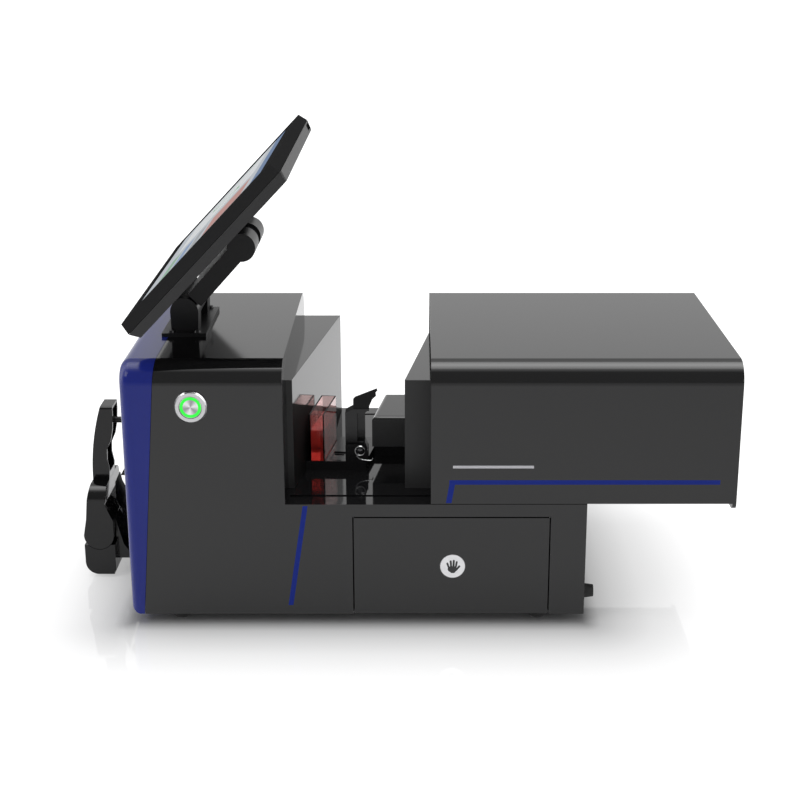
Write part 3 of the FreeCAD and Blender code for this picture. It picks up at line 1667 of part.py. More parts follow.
def clamp_arm():
    """Spring arm: a broad shrouded hinge below and a slim bowed channel above, open to the port."""
    body = new_body("clamp_arm")
    waist = clamp_waist_height
    shroud = [
        (clamp_back, pivot_z),
        (clamp_back, waist - 29),
        (clamp_back - 2.4, waist - 24),
        (clamp_back - 6, waist - 15),
        (clamp_back - 5, waist),
        (clamp_front + 6.1, waist),
        (clamp_front + 4.2, waist - 10.5),
        (clamp_front + 2.6, waist - 28),
        (clamp_front, pivot_z),
        Arc((pivot_x, pivot_z - clamp_knuckle_radius), (pivot_x, pivot_z), clamp_knuckle_radius),
        Arc((clamp_back, pivot_z), (pivot_x, pivot_z), clamp_knuckle_radius),
    ]
    pad(body, "XZ_Plane", [shroud[1:]], -clamp_half, clamp_half)

    def shoulder(edge):
        mid = middle(edge)
        return runs_along(edge, 0) and near(mid.z, waist.value) and near(abs(mid.y), clamp_half.value)

    fillet(body, clamp_shoulder_round, shoulder)
    top = clamp_top_height
    low_x = clamp_front + 6
    high_x = clamp_front + 15.4
    rise = top - (waist - 2)
    chord = (high_x - low_x) * (high_x - low_x) + rise * rise
    back_off = (clamp_bow_radius * clamp_bow_radius - chord / 4).root() / chord.root()
    centre = (
        (low_x + high_x) / 2 + rise * back_off,
        waist - 2 + rise / 2 - (high_x - low_x) * back_off,
    )
    slim = [
        (low_x, waist - 2),
        (clamp_back - 5.2, waist - 2),
        (clamp_back - 4.4, waist + 8),
        (clamp_back - 6, waist + 17),
        (clamp_back - 5.6, waist + 26),
        (clamp_back - 2, waist + 34),
        (clamp_back, waist + 44),
        (clamp_back + 0.8, top - 8),
        (clamp_back + 0.8, top),
        (high_x, top),
        Arc((low_x, waist - 2), centre, clamp_bow_radius),
    ]
    pad(body, "XZ_Plane", [slim[1:]], -clamp_arm_half, clamp_arm_half)

    def top_rim(edge):
        mid = middle(edge)
        return runs_along(edge, 0) and near(mid.z, top.value) and near(abs(mid.y), clamp_arm_half.value)

    fillet(body, clamp_edge_round, top_rim)
    skin = clamp_skin
    hollow_half = clamp_arm_half - skin
    above = optical_height + clamp_rib_half
    below = optical_height - clamp_rib_half
    upper = [
        (clamp_front + 17.8, top - skin),
        (clamp_front + 15.2, above),
        (clamp_back + 2, above),
        (clamp_back + 2, top - skin),
    ]
    lower = [
        (clamp_front + 13.2, below),
        (clamp_front + 9.8, waist + 20),
        (clamp_front + 8.8, waist + 6),
        (clamp_back + 2, waist + 6),
        (clamp_back + 2, below),
    ]
    pocket(body, "XZ_Plane", [upper, lower], -hollow_half, hollow_half)
    ledge = rectangle(rib_face_x, -hollow_half, clamp_back + 2, hollow_half)
    pocket(body, "XY_Plane", [ledge], below - 1, above + 1)
    slot_radius = clamp_knuckle_radius + 1
    for side in (-1, 1):
        if side == 1:
            low, high = clamp_lug_near - clamp_gap, clamp_lug_near + clamp_lug_width + clamp_gap
        else:
            low, high = -clamp_lug_near - clamp_lug_width - clamp_gap, -clamp_lug_near + clamp_gap
        pocket(body, "XZ_Plane", [Disc(pivot_x, pivot_z, slot_radius)], low, high)
    bore = Disc(pivot_x, pivot_z, clamp_pin_radius + fit_clearance)
    pocket(body, "XZ_Plane", [bore], clamp_pin_cap - clamp_half, clamp_half - clamp_pin_cap)
    seat = Disc(0, optical_height, nub_radius + fit_clearance)
    pocket(body, "YZ_Plane", [seat], nub_foot_x - fit_clearance, rib_face_x + 1)
    return keep(body)


rib_face_x = clamp_front + 21.8
nub_foot_x = rib_face_x - nub_depth
pad_back_x = port_face_x - clamp_gap - pad_thickness


def clamp_foot():
    """Cradle below the arm with two lugs that hold the hinge pin."""
    body = new_body("clamp_foot")
    cradle = clamp_knuckle_radius + clamp_gap
    seam = pivot_z - clamp_seam_drop
    half_chord = (cradle * cradle - clamp_seam_drop * clamp_seam_drop).root()
    back = clamp_back + clamp_gap
    turn = clamp_cradle_round
    profile = [
        (clamp_front, clamp_low + turn),
        Arc((clamp_front + turn, clamp_low), (clamp_front + turn, clamp_low + turn), turn),
        (back - 1.6, clamp_low),
        (back - 1.6, clamp_low + 2),
        (back, clamp_low + 4),
        (back, seam),
        (pivot_x + half_chord, seam),
        Arc((pivot_x, pivot_z - cradle), (pivot_x, pivot_z), cradle),
        Arc((pivot_x - half_chord, seam), (pivot_x, pivot_z), cradle),
        (clamp_front, seam),
    ]
    pad(body, "XZ_Plane", [profile], -clamp_half, clamp_half)
    lug = [
        (pivot_x + clamp_lug_radius, pivot_z),
        Arc((pivot_x, pivot_z + clamp_lug_radius), (pivot_x, pivot_z), clamp_lug_radius),
        Arc((pivot_x - clamp_lug_radius, pivot_z), (pivot_x, pivot_z), clamp_lug_radius),
        (pivot_x - clamp_lug_radius, seam - clamp_lug_radius),
        (pivot_x + clamp_lug_radius, seam - clamp_lug_radius),
    ]
    pad(body, "XZ_Plane", [lug], clamp_lug_near, clamp_lug_near + clamp_lug_width)
    pad(body, "XZ_Plane", [lug], -clamp_lug_near - clamp_lug_width, -clamp_lug_near)
    bore = Disc(pivot_x, pivot_z, clamp_pin_radius + fit_clearance)
    pocket(body, "XZ_Plane", [bore], -clamp_half - 1, clamp_half + 1)
    return keep(body)


def clamp_bracket():
    """Moulded bracket that carries the cradle on the front panel, with a thin peaked web above."""
    body = new_body("clamp_bracket")
    front = clamp_back + clamp_gap
    low = clamp_low + 11
    profile = [
        (front, low),
        (front_x, low),
        (front_x, low + 6),
        (front + 9.6, low + 7),
        (front + 5.9, low + 12.4),
        (front + 2.8, low + 24.2),
        (front + 1, low + 32),
        (front, low + 36),
    ]
    pad(body, "XZ_Plane", [profile], -bracket_reach, bracket_reach)
    peak = clamp_waist_height + 2.5
    ear = [
        (front_x, low + 3),
        (front_x, peak - 26),
        (front + 7.5, peak - 26),
        (front + 6.2, peak - 16),
        (front + 2.6, peak - 8),
        (front + 1.2, peak),
        (front - 3, peak - 9),
        (front - 3, peak - 25),
        (front + 1.5, peak - 33),
        (front + 3, low + 3),
    ]
    pad(body, "XZ_Plane", [ear], -ear_half, ear_half)
    return keep(body)


ear_half = size("ear_half", 1.6)
bracket_reach = size("bracket_reach", 24)


def clamp_pin():
    """Steel pin of the clamp hinge."""
    length = (clamp_half - clamp_pin_cap - clamp_gap) * 2
    made = cylinder("clamp_pin", clamp_pin_radius, length)
    return keep(place(made, pivot_x, length / 2, pivot_z, *TO_BUTTON_SIDE))


def clamp_disc():
    """Pressing stud in the arm's rib, with a small flange behind the pad."""
    length = pad_back_x - nub_foot_x
    flange = length - disc_thickness
    profile = [
        (0, 0),
        (nub_radius, 0),
        (nub_radius, flange - 1),
        (disc_radius, flange),
        (disc_radius, length),
        (0, length),
    ]
    return keep(place(turned("clamp_disc", profile), nub_foot_x, 0, optical_height, *TO_REAR))


def clamp_pad():
    """Soft round pad that meets the sample."""
    profile = [(0, 0), (pad_radius, 0), (pad_radius - 0.4, pad_thickness), (0, pad_thickness)]
    return keep(place(turned("clamp_pad", profile), pad_back_x, 0, optical_height, *TO_REAR))


def sample_ledge():
    """Small ledge below the port that keeps a sample from dropping."""
    body = new_body("sample_ledge")
    tip = front_x - ledge_reach
    profile = [
        (tip, ledge_height),
        (front_x, ledge_height),
        (front_x, ledge_height + 12),
        (tip + 4, ledge_height + 7),
    ]
    pad(body, "XZ_Plane", [profile], -ledge_half, ledge_half)
    return keep(body)


ledge_reach = size("ledge_reach", 25.4)
ledge_height = size("ledge_height", 81)
ledge_half = size("ledge_half", 5)


# Inner modules
stand_half = size("stand_half", 40)
stand_length = size("stand_length", 84)
stand_sheet = size("stand_sheet", 3)
board_standoff = size("board_standoff", 4)
board_thickness = size("board_thickness", 1.6)
module_gap = size("module_gap", 4)
spectrometer_length = size("spectrometer_length", 82)
spectrometer_width = size("spectrometer_width", 60)
spectrometer_height = size("spectrometer_height", 44)
supply_gap = size("supply_gap", 8.5)
supply_width = size("supply_width", 62)
supply_height = size("supply_height", 40)
lamp_radius = size("lamp_radius", 17)
lamp_clear = size("lamp_clear", 10.9)


def optics_stand():
    """Bent sheet stand that carries the sphere above the floor."""
    body = new_body("optics_stand")
    top = optical_height - sphere_radius - sphere_wall * 2 - seam_gap
    outline = [
        (-stand_half, floor_top),
        (-stand_half + stand_sheet, floor_top),
        (-stand_half + stand_sheet, top - stand_sheet),
        (stand_half - stand_sheet, top - stand_sheet),
        (stand_half - stand_sheet, floor_top),
        (stand_half, floor_top),
        (stand_half, top),
        (-stand_half, top),
    ]
    pad(body, "YZ_Plane", [outline], sphere_x - stand_length / 2, sphere_x + stand_length / 2)
    return keep(body)


def lamp_module():
    """Flash lamp housing on top of the sphere."""
    body = new_body("lamp_module")
    low = optical_height + sphere_radius + sphere_wall * 2 + seam_gap
    pad(body, "XY_Plane", [Disc(sphere_x, 0, lamp_radius)], low, block_height - lamp_clear)
    return keep(body)





def spectrometer_module():
    """Sealed spectrometer with the grating and sensor."""
    body = new_body("spectrometer_module")
    start = block_rear + module_gap
    far = inner_half - boss_depth - module_gap
    outline = rectangle(start, far - spectrometer_width, start + spectrometer_length, far)
    pad(body, "XY_Plane", [outline], floor_top, floor_top + spectrometer_height)
    return keep(body)


def power_supply():
    """Enclosed power supply behind the inlet."""
    body = new_body("power_supply")
    stop = rear_plate_x - inlet_depth - module_gap * 3
    far = inner_half - boss_depth - module_gap
    start = block_rear + module_gap + spectrometer_length + supply_gap
    outline = rectangle(start, far - supply_width, stop, far)
    pad(body, "XY_Plane", [outline], floor_top, floor_top + supply_height)
    return keep(body)


def main_board():
    """Control board on four pillars under the sphere stand."""
    body = new_body("main_board")
    half_x = stand_length / 2 - module_gap
    half_y = stand_half - stand_sheet - module_gap
    low = floor_top + board_standoff
    outline = rectangle(sphere_x - half_x, -half_y, sphere_x + half_x, half_y)
    pad(body, "XY_Plane", [outline], low, low + board_thickness)
    pillars = []
    for side_x in (-1, 1):
        for side_y in (-1, 1):
            x = sphere_x + (half_x - module_gap) * side_x
            pillars.append(Disc(x, (half_y - module_gap) * side_y, 2.5))
    pad(body, "XY_Plane", pillars, floor_top, low + 0.5)
    return keep(body)


def screw(label):
    """Small pan-head screw, head up."""
    profile = [
        (0, -screw_length),
        (screw_shank, -screw_length),
        (screw_shank, 0),
        (screw_radius, 0),
        (screw_radius - 0.6, screw_head),
        (0, screw_head),
    ]
    return turned(label, profile)


def screws():
    """Ten like screws: six below the floor and four in the arm's base."""
    made = []
    for number, (x, y, side) in enumerate(floor_screw_spots(), 1):
        made.append(place(screw(f"floor_screw_{number}"), x, y, foot_height, (1, 0, 0), 180))
    for number, (x, y) in enumerate(arm_screw_spots(), 1):
        made.append(place(screw(f"arm_screw_{number}"), x, y, block_height + post_foot_height))
    return keep(group("screws", made))


def build_all():
    """Make every sub-part, from the base up."""
    housing_shell()
    front_bezel()
    front_panel()
    bottom_plate()
    feet()
    rear_bumpers()
    deck_plate()
    hood_rails()
    rear_plate()
    power_inlet()
    power_switch()
    port_housing()
    aperture_plate()
    half_sphere("sphere_front", port_radius, TO_FRONT)
    half_sphere("sphere_rear", port_radius + sphere_wall, TO_REAR)
    light_tube()
    front_chamber_box()
    chamber_window()
    rear_chamber_box()
    receiver_block()
    receiver_lens()
    optics_stand()
    lamp_module()
    spectrometer_module()
    power_supply()
    main_board()
    button_bezel()
    button_cap()
    button_light_ring()
    hood_shell()
    hood_end_panel()
    hood_runners()
    sample_holder()
    clip_lever()
    clip_pin()
    clip_spring()
    cuvette()
    sample_liquid()
    drawer_front()
    drawer_tray()
    drawer_rails()
    drawer_badge()
    tile_mount()
    white_tile()
    black_trap()
    display_frame()
    display_screen()
    display_back()
    display_bracket()
    arm_link()
    arm_base()
    hinge_pins()
    screws()
    clamp_arm()
    clamp_foot()
    clamp_bracket()
    clamp_pin()
    clamp_disc()
    clamp_pad()
    sample_ledge()


def check_all():
    """Stop if any object failed or any shape is empty or broken."""
    document.recompute()
    for thing in document.Objects:
        if "Invalid" in thing.State or "Error" in thing.State:
            raise RuntimeError(f"{thing.Label} failed: {thing.State}")
    for part in subparts:
        if part.Shape.isNull() or not part.Shape.isValid() or not part.Shape.Solids:
            raise RuntimeError(f"{part.Label} has no valid solid")


def write_all():
    """Write one STEP file for each sub-part."""
    os.makedirs("parts", exist_ok=True)
    for part in subparts:
        part.Shape.exportStep(f"parts/{part.Label}.step")


build_all()
check_all()
write_all()
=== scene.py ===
import json
import math

import bpy
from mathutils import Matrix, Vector


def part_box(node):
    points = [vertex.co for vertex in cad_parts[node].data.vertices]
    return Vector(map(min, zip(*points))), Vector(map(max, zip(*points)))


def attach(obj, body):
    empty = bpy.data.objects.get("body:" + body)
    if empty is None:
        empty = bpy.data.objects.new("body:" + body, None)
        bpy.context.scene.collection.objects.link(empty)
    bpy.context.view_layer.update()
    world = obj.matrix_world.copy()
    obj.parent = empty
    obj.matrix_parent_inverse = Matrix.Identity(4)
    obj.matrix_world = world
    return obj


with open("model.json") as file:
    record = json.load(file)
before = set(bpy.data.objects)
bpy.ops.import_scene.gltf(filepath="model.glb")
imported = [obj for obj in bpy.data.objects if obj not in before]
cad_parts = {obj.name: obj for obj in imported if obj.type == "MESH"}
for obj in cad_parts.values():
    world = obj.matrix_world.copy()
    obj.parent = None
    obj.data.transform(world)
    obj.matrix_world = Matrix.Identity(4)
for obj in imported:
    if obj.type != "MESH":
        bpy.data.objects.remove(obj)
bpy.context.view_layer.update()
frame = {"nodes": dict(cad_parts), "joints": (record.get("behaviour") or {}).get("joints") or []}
nodes = frame["nodes"]


# Moulded housing shell: charcoal ABS with a fine spark-eroded grain and a soft sheen.
# It is one moulding, open below, with a blue stripe printed across its button side.
# The wrapper and the finish below are used by every later section.
class Wire:
    """An output socket; Python arithmetic on it adds Math nodes."""

    def __init__(self, socket):
        self.socket = socket

    def node(self, kind, settings=None, inputs=None, output=0):
        """Add a node: its settings first, then the values or links of its sockets."""
        made = self.socket.id_data.nodes.new("ShaderNode" + kind)
        for name, value in (settings or {}).items():
            if name == "stops":
                ramp = made.color_ramp
                while len(ramp.elements) < len(value):
                    ramp.elements.new(1.0)
                for element, (position, colour) in zip(ramp.elements, value):
                    element.position = position
                    element.color = (*colour, 1.0)
            else:
                setattr(made, name, value)
        for name, value in (inputs or {}).items():
            if isinstance(value, Wire):
                self.socket.id_data.links.new(value.socket, made.inputs[name])
            else:
                made.inputs[name].default_value = value
        return Wire(made.outputs[output])

    def math(self, operation, *others):
        """A Math node whose first value is this wire."""
        return self.node("Math", {"operation": operation}, dict(enumerate((self, *others))))

    def __add__(self, other):
        return self.math("ADD", other)

    __radd__ = __add__

    def __sub__(self, other):
        return self.math("SUBTRACT", other)

    def __rsub__(self, other):
        return self.node("Math", {"operation": "SUBTRACT"}, {0: other, 1: self})

    def __mul__(self, other):
        return self.math("MULTIPLY", other)

    __rmul__ = __mul__

    def __truediv__(self, other):
        return self.math("DIVIDE", other)

    def __lt__(self, other):
        return self.math("LESS_THAN", other)

    def __gt__(self, other):
        return self.math("GREATER_THAN", other)

    def axis(self, letter):
        return self.node("SeparateXYZ", None, {0: self}, "XYZ".index(letter))

    def noise(self, scale, detail, stretch=(1.0, 1.0, 1.0)):
        spread = self.node("VectorMath", {"operation": "MULTIPLY"}, {0: self, 1: stretch})
        return self.node("TexNoise", None, {"Vector": spread, "Scale": scale, "Detail": detail})

    def between(self, low, high):
        return (self > low) * (self < high)

    def reach(self, other):
        """The length whose two legs are this wire and another."""
        return (self * self + other * other).math("SQRT")

    def mix(self, first, second):
        """Colour mix with this wire as the factor; 6 and 7 are the node's colour sockets."""
        first = (*first, 1.0) if isinstance(first, tuple) else first
        second = (*second, 1.0) if isinstance(second, tuple) else second
        return self.node("Mix", {"data_type": "RGBA"}, {0: self, 6: first, 7: second}, 2)


class Finish:
    """A Principled material; constants go on its sockets, patterns come from the place."""

    def __init__(self, name, colour, roughness, **constants):
        self.material = bpy.data.materials.new(name)
        self.material.use_nodes = True
        tree = self.material.node_tree
        self.shader = tree.nodes["Principled BSDF"]
        self.place = Wire(tree.nodes.new("ShaderNodeTexCoord").outputs["Object"])
        self.set("Base Color", colour)
        self.set("Roughness", roughness)
        for socket, value in constants.items():
            self.set(socket.replace("_", " "), value)

    def axes(self, letters):
        return [self.place.axis(letter) for letter in letters]

    def set(self, socket, value):
        target = self.shader.inputs[socket]
        if isinstance(value, Wire):
            self.material.node_tree.links.new(value.socket, target)
        elif isinstance(value, tuple) and len(value) == 3:
            target.default_value = (*value, 1.0)
        else:
            target.default_value = value

    def bump(self, height, distance, strength):
        inputs = {"Height": height, "Distance": distance, "Strength": strength}
        self.set("Normal", self.place.node("Bump", None, inputs))

    def inlay(self, mask, colour, roughness, **constants):
        """A second finish of its own where the mask is one: print, and painted patches of light and shade.
        """
        tree = self.material.node_tree
        second = tree.nodes.new("ShaderNodeBsdfPrincipled")
        second.inputs["Base Color"].default_value = (*colour, 1.0)
        second.inputs["Roughness"].default_value = roughness
        for socket, value in constants.items():
            second.inputs[socket.replace("_", " ")].default_value = value
        output = tree.nodes["Material Output"]
        first = output.inputs["Surface"].links[0].from_socket
        blend = tree.nodes.new("ShaderNodeMixShader")
        tree.links.new(mask.socket, blend.inputs[0])
        tree.links.new(first, blend.inputs[1])
        tree.links.new(second.outputs[0], blend.inputs[2])
        tree.links.new(blend.outputs[0], output.inputs["Surface"])


def dress(finish, *names):
    """Give CAD nodes a finish."""
    for name in names:
        data = nodes[name].data
        data.materials.clear()
        data.materials.append(finish.material)


def shade(colour, share):
    """A colour at a share of its strength."""
    return tuple(channel * share for channel in colour)


def moulded(name, colour, roughness, grain):
    """Grained plastic: tiny pits, and a sheen that wanders a little."""
    finish = Finish(name, colour, roughness)
    pits = finish.place.noise(scale=2600.0, detail=2.0)
    wander = finish.place.noise(scale=9.0, detail=3.0)
    finish.set("Roughness", roughness - 0.02 + wander * 0.04)
    finish.set("Base Color", wander.mix(shade(colour, 0.85), colour))
    finish.bump(pits, distance=grain, strength=0.12)
    return finish


CHARCOAL = (0.0035, 0.0035, 0.0037)
FINE_GRAIN = 0.00001
PRINT_BLUE = (0.008, 0.020, 0.185)
PRINT_GLOSS = 0.1
SKIN = 0.0002
button_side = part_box("housing_shell")[0][1] + SKIN
stripe_low = 0.0155
stripe_high = 0.0987
stripe_top_x = -0.0391
stripe_lean = 0.155
stripe_half = 0.0019
shell = moulded("charcoal_shell", CHARCOAL, 0.09, FINE_GRAIN)
x, y, z = shell.axes("XYZ")
stripe_middle = stripe_top_x + (z - stripe_high) * stripe_lean
stripe = (x - stripe_middle).between(-stripe_half, stripe_half) * z.between(stripe_low, stripe_high)
shell.inlay(stripe * (y < button_side), PRINT_BLUE, 0.35, Specular_IOR_Level=PRINT_GLOSS)
dress(shell, "housing_shell")


# Front bezel: one glossy royal-blue moulding that frames the front and wraps on to the sides.
# Its colour is in the plastic, which flowed in from the gate and left the faintest clouds.
bezel_blue = Finish("royal_blue_gloss", (0.010, 0.017, 0.16), 0.12, Specular_IOR_Level=0.22)
flow = bezel_blue.place.noise(scale=14.0, detail=2.0)
bezel_blue.set("Base Color", flow.mix((0.008, 0.015, 0.150), (0.012, 0.020, 0.175)))
bezel_blue.set("Roughness", 0.09 + flow * 0.05)
bezel_blue.bump(bezel_blue.place.noise(scale=420.0, detail=1.0), distance=0.00001, strength=0.1)
dress(bezel_blue, "front_bezel")


# Inset front panel and the deck: black high-gloss plates that mirror what stands on them.
# The deck is let into the housing's rim; wiping has left the faintest haze on both.
black_gloss = Finish("piano_black", (0.0035, 0.0035, 0.004), 0.05)
haze = black_gloss.place.noise(scale=30.0, detail=4.0, stretch=(1.0, 0.25, 1.0))
black_gloss.set("Roughness", 0.035 + haze * 0.05)
black_gloss.set("Base Color", haze.mix((0.006, 0.006, 0.0065), (0.009, 0.009, 0.0095)))
black_gloss.bump(black_gloss.place.noise(scale=160.0, detail=1.0), distance=0.00001, strength=0.2)
dress(black_gloss, "front_panel", "deck_plate")


# Sliding hood and its rear wall: the same charcoal plastic as the housing.
# A blue line turns up and along the button side, with a short pale rule above it.
line_start = 0.0715
line_end = 0.2783
line_low = 0.1163
line_high = 0.1199
rise_foot = 0.1012
rise_lean = 0.169
rise_left = 0.0689
rise_right = 0.0732
rule_span = (0.0742, 0.1358)
rule_height = (0.1295, 0.1317)
hood_plastic = moulded("charcoal_hood", CHARCOAL, 0.11, FINE_GRAIN)
x, y, z = hood_plastic.axes("XYZ")
on_side = y < button_side
along = x.between(line_start, line_end) * z.between(line_low, line_high)
upright = x - (z - rise_foot) * rise_lean
rise = upright.between(rise_left, rise_right) * z.between(rise_foot, line_high)
rule = x.between(*rule_span) * z.between(*rule_height)
hood_plastic.inlay(along.math("MAXIMUM", rise) * on_side, PRINT_BLUE, 0.35, Specular_IOR_Level=PRINT_GLOSS)
hood_plastic.inlay(rule * on_side, (0.45, 0.45, 0.47), 0.4, Specular_IOR_Level=PRINT_GLOSS)
dress(hood_plastic, "hood_shell", "hood_end_panel")


# Measuring chamber: two satin black boxes and the receiver block that stands out from the rear one.
# They are moulded in the housing's plastic. Their near faces carry painted light, a lighter satin colour
# that makes them look lit, and the front box's turned wall carries painted shade: it is dark and matt
# up to a line that rises to the near side.
# Lighter colour painted on near faces, standing in for their lit look.
SATIN_PAINTED_LIT = (0.026, 0.026, 0.0262)
chamber_low, chamber_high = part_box("front_chamber_box")
chamber_near = chamber_low[1] + SKIN
chamber_edge = chamber_high[2] - 2 * SKIN
shade_patch_back = -0.0499
shade_patch_height = 0.1405
shade_patch_slope = 0.349
chamber = moulded("chamber_black", CHARCOAL, 0.08, FINE_GRAIN)
x, y, z = chamber.axes("XYZ")
# Painted light: the near faces below the top edge take the lighter satin colour, so they look lit.
chamber.inlay((y < chamber_near) * (z < chamber_edge), SATIN_PAINTED_LIT, 0.5, Specular_IOR_Level=0.3)
# Painted shade: the turned wall is dark and matt below a line that rises to the near side.
facing = x.between(shade_patch_back, 0.0) * (y > chamber_near)
painted_shade_patch = facing * (z < shade_patch_height - y * shade_patch_slope)
chamber.inlay(painted_shade_patch, (0.007, 0.007, 0.007), 0.6, Specular_IOR_Level=0.08)
dress(chamber, "front_chamber_box", "rear_chamber_box")
receiver_low, receiver_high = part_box("receiver_block")
receiver_edge = receiver_high[2] - 0.0013
receiver_plastic = moulded("receiver_black", CHARCOAL, 0.1, FINE_GRAIN)
y, z = receiver_plastic.axes("YZ")
# Painted light: the near face below the top edge takes the lighter satin colour, so it looks lit.
near_face = (y < receiver_low[1] + SKIN) * (z < receiver_edge)
receiver_plastic.inlay(near_face, SATIN_PAINTED_LIT, 0.5, Specular_IOR_Level=0.3)
dress(receiver_plastic, "receiver_block")


# Drawer: a flush front of the housing's plastic with a matt tray behind it.
# A round white disc with a plain hand sign marks where to push.
def middle(name):
    """The middle of a CAD node's box."""
    low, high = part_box(name)
    return [(first + last) / 2 for first, last in zip(low, high)]


dress(moulded("charcoal_drawer", CHARCOAL, 0.1, FINE_GRAIN), "drawer_front")
tray_plastic = moulded("matt_black_plastic", (0.012, 0.012, 0.0125), 0.55, 0.00006)
dress(tray_plastic, "drawer_tray", "white_tile_holder", "hood_runners", "power_inlet", "clamp_disc",
      "sample_ledge", "port_housing")
disc_x, _, disc_z = middle("drawer_badge")
disc_print = Finish("white_disc", (0.78, 0.78, 0.79), 0.35)
x, z = disc_print.axes("XZ")
x = x - disc_x
z = z - disc_z
hand_strokes = (
    (-0.0030, -0.0010, -0.0041, 0.0024, 0.00075),
    (-0.0012, 0.0000, -0.0015, 0.0042, 0.00080),
    (0.0007, 0.0000, 0.0009, 0.0046, 0.00080),
    (0.0025, -0.0005, 0.0032, 0.0036, 0.00075),
    (0.0026, -0.0032, 0.0052, -0.0001, 0.00080),
    (-0.0014, -0.0024, 0.0010, -0.0024, 0.00240),
    (-0.0004, -0.0040, 0.0006, -0.0040, 0.00170),
)
nearest = None
for from_x, from_z, to_x, to_z, thick in hand_strokes:
    run = to_x - from_x
    climb = to_z - from_z
    share = ((x - from_x) * run + (z - from_z) * climb) / (run ** 2 + climb ** 2)
    share = share.math("MAXIMUM", 0.0).math("MINIMUM", 1.0)
    gap = (x - from_x - share * run).reach(z - from_z - share * climb) - thick
    nearest = gap if nearest is None else nearest.math("MINIMUM", gap)
hand = nearest < 0.0
rim = (x.reach(z) > 0.0094) * 0.35
disc_print.set("Base Color", hand.math("MAXIMUM", rim).mix((0.8, 0.8, 0.81), (0.01, 0.01, 0.011)))
dress(disc_print, "drawer_badge")


# Calibration pieces in the tray: a glazed white tile in its holder and a black light trap.
# The trap's black anodising is also on the port's aperture plate and the modules inside.
glaze = Finish("tile_glaze", (0.82, 0.82, 0.8), 0.12, Coat_Weight=0.6, Coat_Roughness=0.03)
glaze.bump(glaze.place.noise(scale=120.0, detail=2.0), distance=0.00002, strength=0.3)
dress(glaze, "white_tile")
anodised = Finish("black_anodised", (0.010, 0.010, 0.011), 0.32, Metallic=0.35)
anodised.set("Roughness", 0.27 + anodised.place.noise(scale=300.0, detail=3.0) * 0.12)
anodised.bump(anodised.place.noise(scale=3500.0, detail=1.0), distance=0.00002, strength=0.3)
dress(anodised, "black_trap", "aperture_plate", "light_tube", "lamp_module", "spectrometer_module")


# Push button: a turned steel bezel and cap with a ring light between them.
# The turning marks run in circles round the button's middle, and the cap's face has a painted highlight in
# three lobes.
button_x, _, button_z = middle("button_cap")


def turned_steel(name):
    """Steel faced on a lathe, with circular marks about the button's axis."""
    finish = Finish(name, (0.52, 0.52, 0.53), 0.28, Metallic=1.0)
    x, z = finish.axes("XZ")
    radius = (x - button_x).reach(z - button_z)
    marks = (radius * 9000.0).math("SINE") * 0.5 + finish.place.noise(scale=500.0, detail=2.0) * 0.5
    finish.set("Roughness", 0.22 + marks * 0.12)
    finish.bump(marks, distance=0.00001, strength=0.4)
    return finish


dress(turned_steel("button_steel"), "button_bezel")
cap_steel = turned_steel("cap_steel")
x, z = cap_steel.axes("XZ")
# Painted highlight: the cap's colour turns light and dark in three lobes round its middle.
angle = (z - button_z).math("ARCTAN2", x - button_x)
painted_highlight_lobes = (angle * 3.0 + 0.6).math("SINE") * 0.5 + 0.5
cap_steel.set("Base Color", painted_highlight_lobes.mix((0.30, 0.30, 0.31), (0.72, 0.72, 0.73)))
dress(cap_steel, "button_cap")
glow = Finish("green_light", (0.01, 0.35, 0.02), 0.4, Emission_Strength=1.0)
diffuser = glow.place.noise(scale=700.0, detail=1.0)
glow.set("Emission Color", diffuser.mix((0.005, 0.62, 0.02), (0.02, 0.78, 0.05)))
dress(glow, "button_light_ring")


# Fasteners and sheet metal: steel hinge pins, blackened screws, and the clip's bright spring and dark pin.
# The rails, the optics stand and the supply's case are bare rolled sheet, marked along its length.
def plain_metal(name, colour, smooth, spread, scale, metallic=1.0):
    """Metal whose roughness wanders from smooth upward by a spread."""
    finish = Finish(name, colour, smooth, Metallic=metallic)
    finish.set("Roughness", smooth + finish.place.noise(scale, detail=2.0) * spread)
    return finish


dress(plain_metal("pin_steel", (0.42, 0.42, 0.43), 0.28, 0.16, 900.0), "hinge_pins", "clamp_pin")
blackened = plain_metal("blackened_screw", (0.012, 0.012, 0.013), 0.34, 0.14, 900.0, metallic=0.5)
dress(blackened, "screws")
bright = plain_metal("polished_steel", (0.75, 0.75, 0.76), 0.08, 0.08, 600.0)
dress(bright, "clip_spring")
dress(plain_metal("dark_pin", (0.10, 0.10, 0.105), 0.16, 0.1, 700.0), "clip_pin")
sheet_metal = Finish("bare_sheet", (0.5, 0.5, 0.51), 0.4, Metallic=1.0)
rolled = sheet_metal.place.noise(scale=220.0, detail=3.0, stretch=(0.05, 1.0, 1.0))
sheet_metal.set("Roughness", 0.33 + rolled * 0.16)
sheet_metal.bump(rolled, distance=0.00002, strength=0.3)
dress(sheet_metal, "hood_rails", "drawer_rails", "optics_stand", "power_supply")


# Bottom plate and rear connector plate: bent sheet steel with a baked powder coat.
# The coat has a fine orange-peel relief, grey below and black on the rear and on the display's bracket.
def powder_coat(name, colour, **constants):
    """Powder coat: a fine orange-peel relief on sheet steel."""
    finish = Finish(name, colour, 0.5, **constants)
    peel = finish.place.noise(scale=1100.0, detail=3.0)
    finish.set("Base Color", peel.mix(shade(colour, 0.8), colour))
    finish.set("Roughness", 0.42 + peel * 0.16)
    finish.bump(peel, distance=0.00008, strength=0.5)
    return finish


dress(powder_coat("grey_powder_coat", (0.09, 0.09, 0.095)), "bottom_plate")
black_coat = powder_coat("black_powder_coat", (0.016, 0.016, 0.017), Specular_IOR_Level=0.0)
dress(black_coat, "rear_plate", "display_bracket")


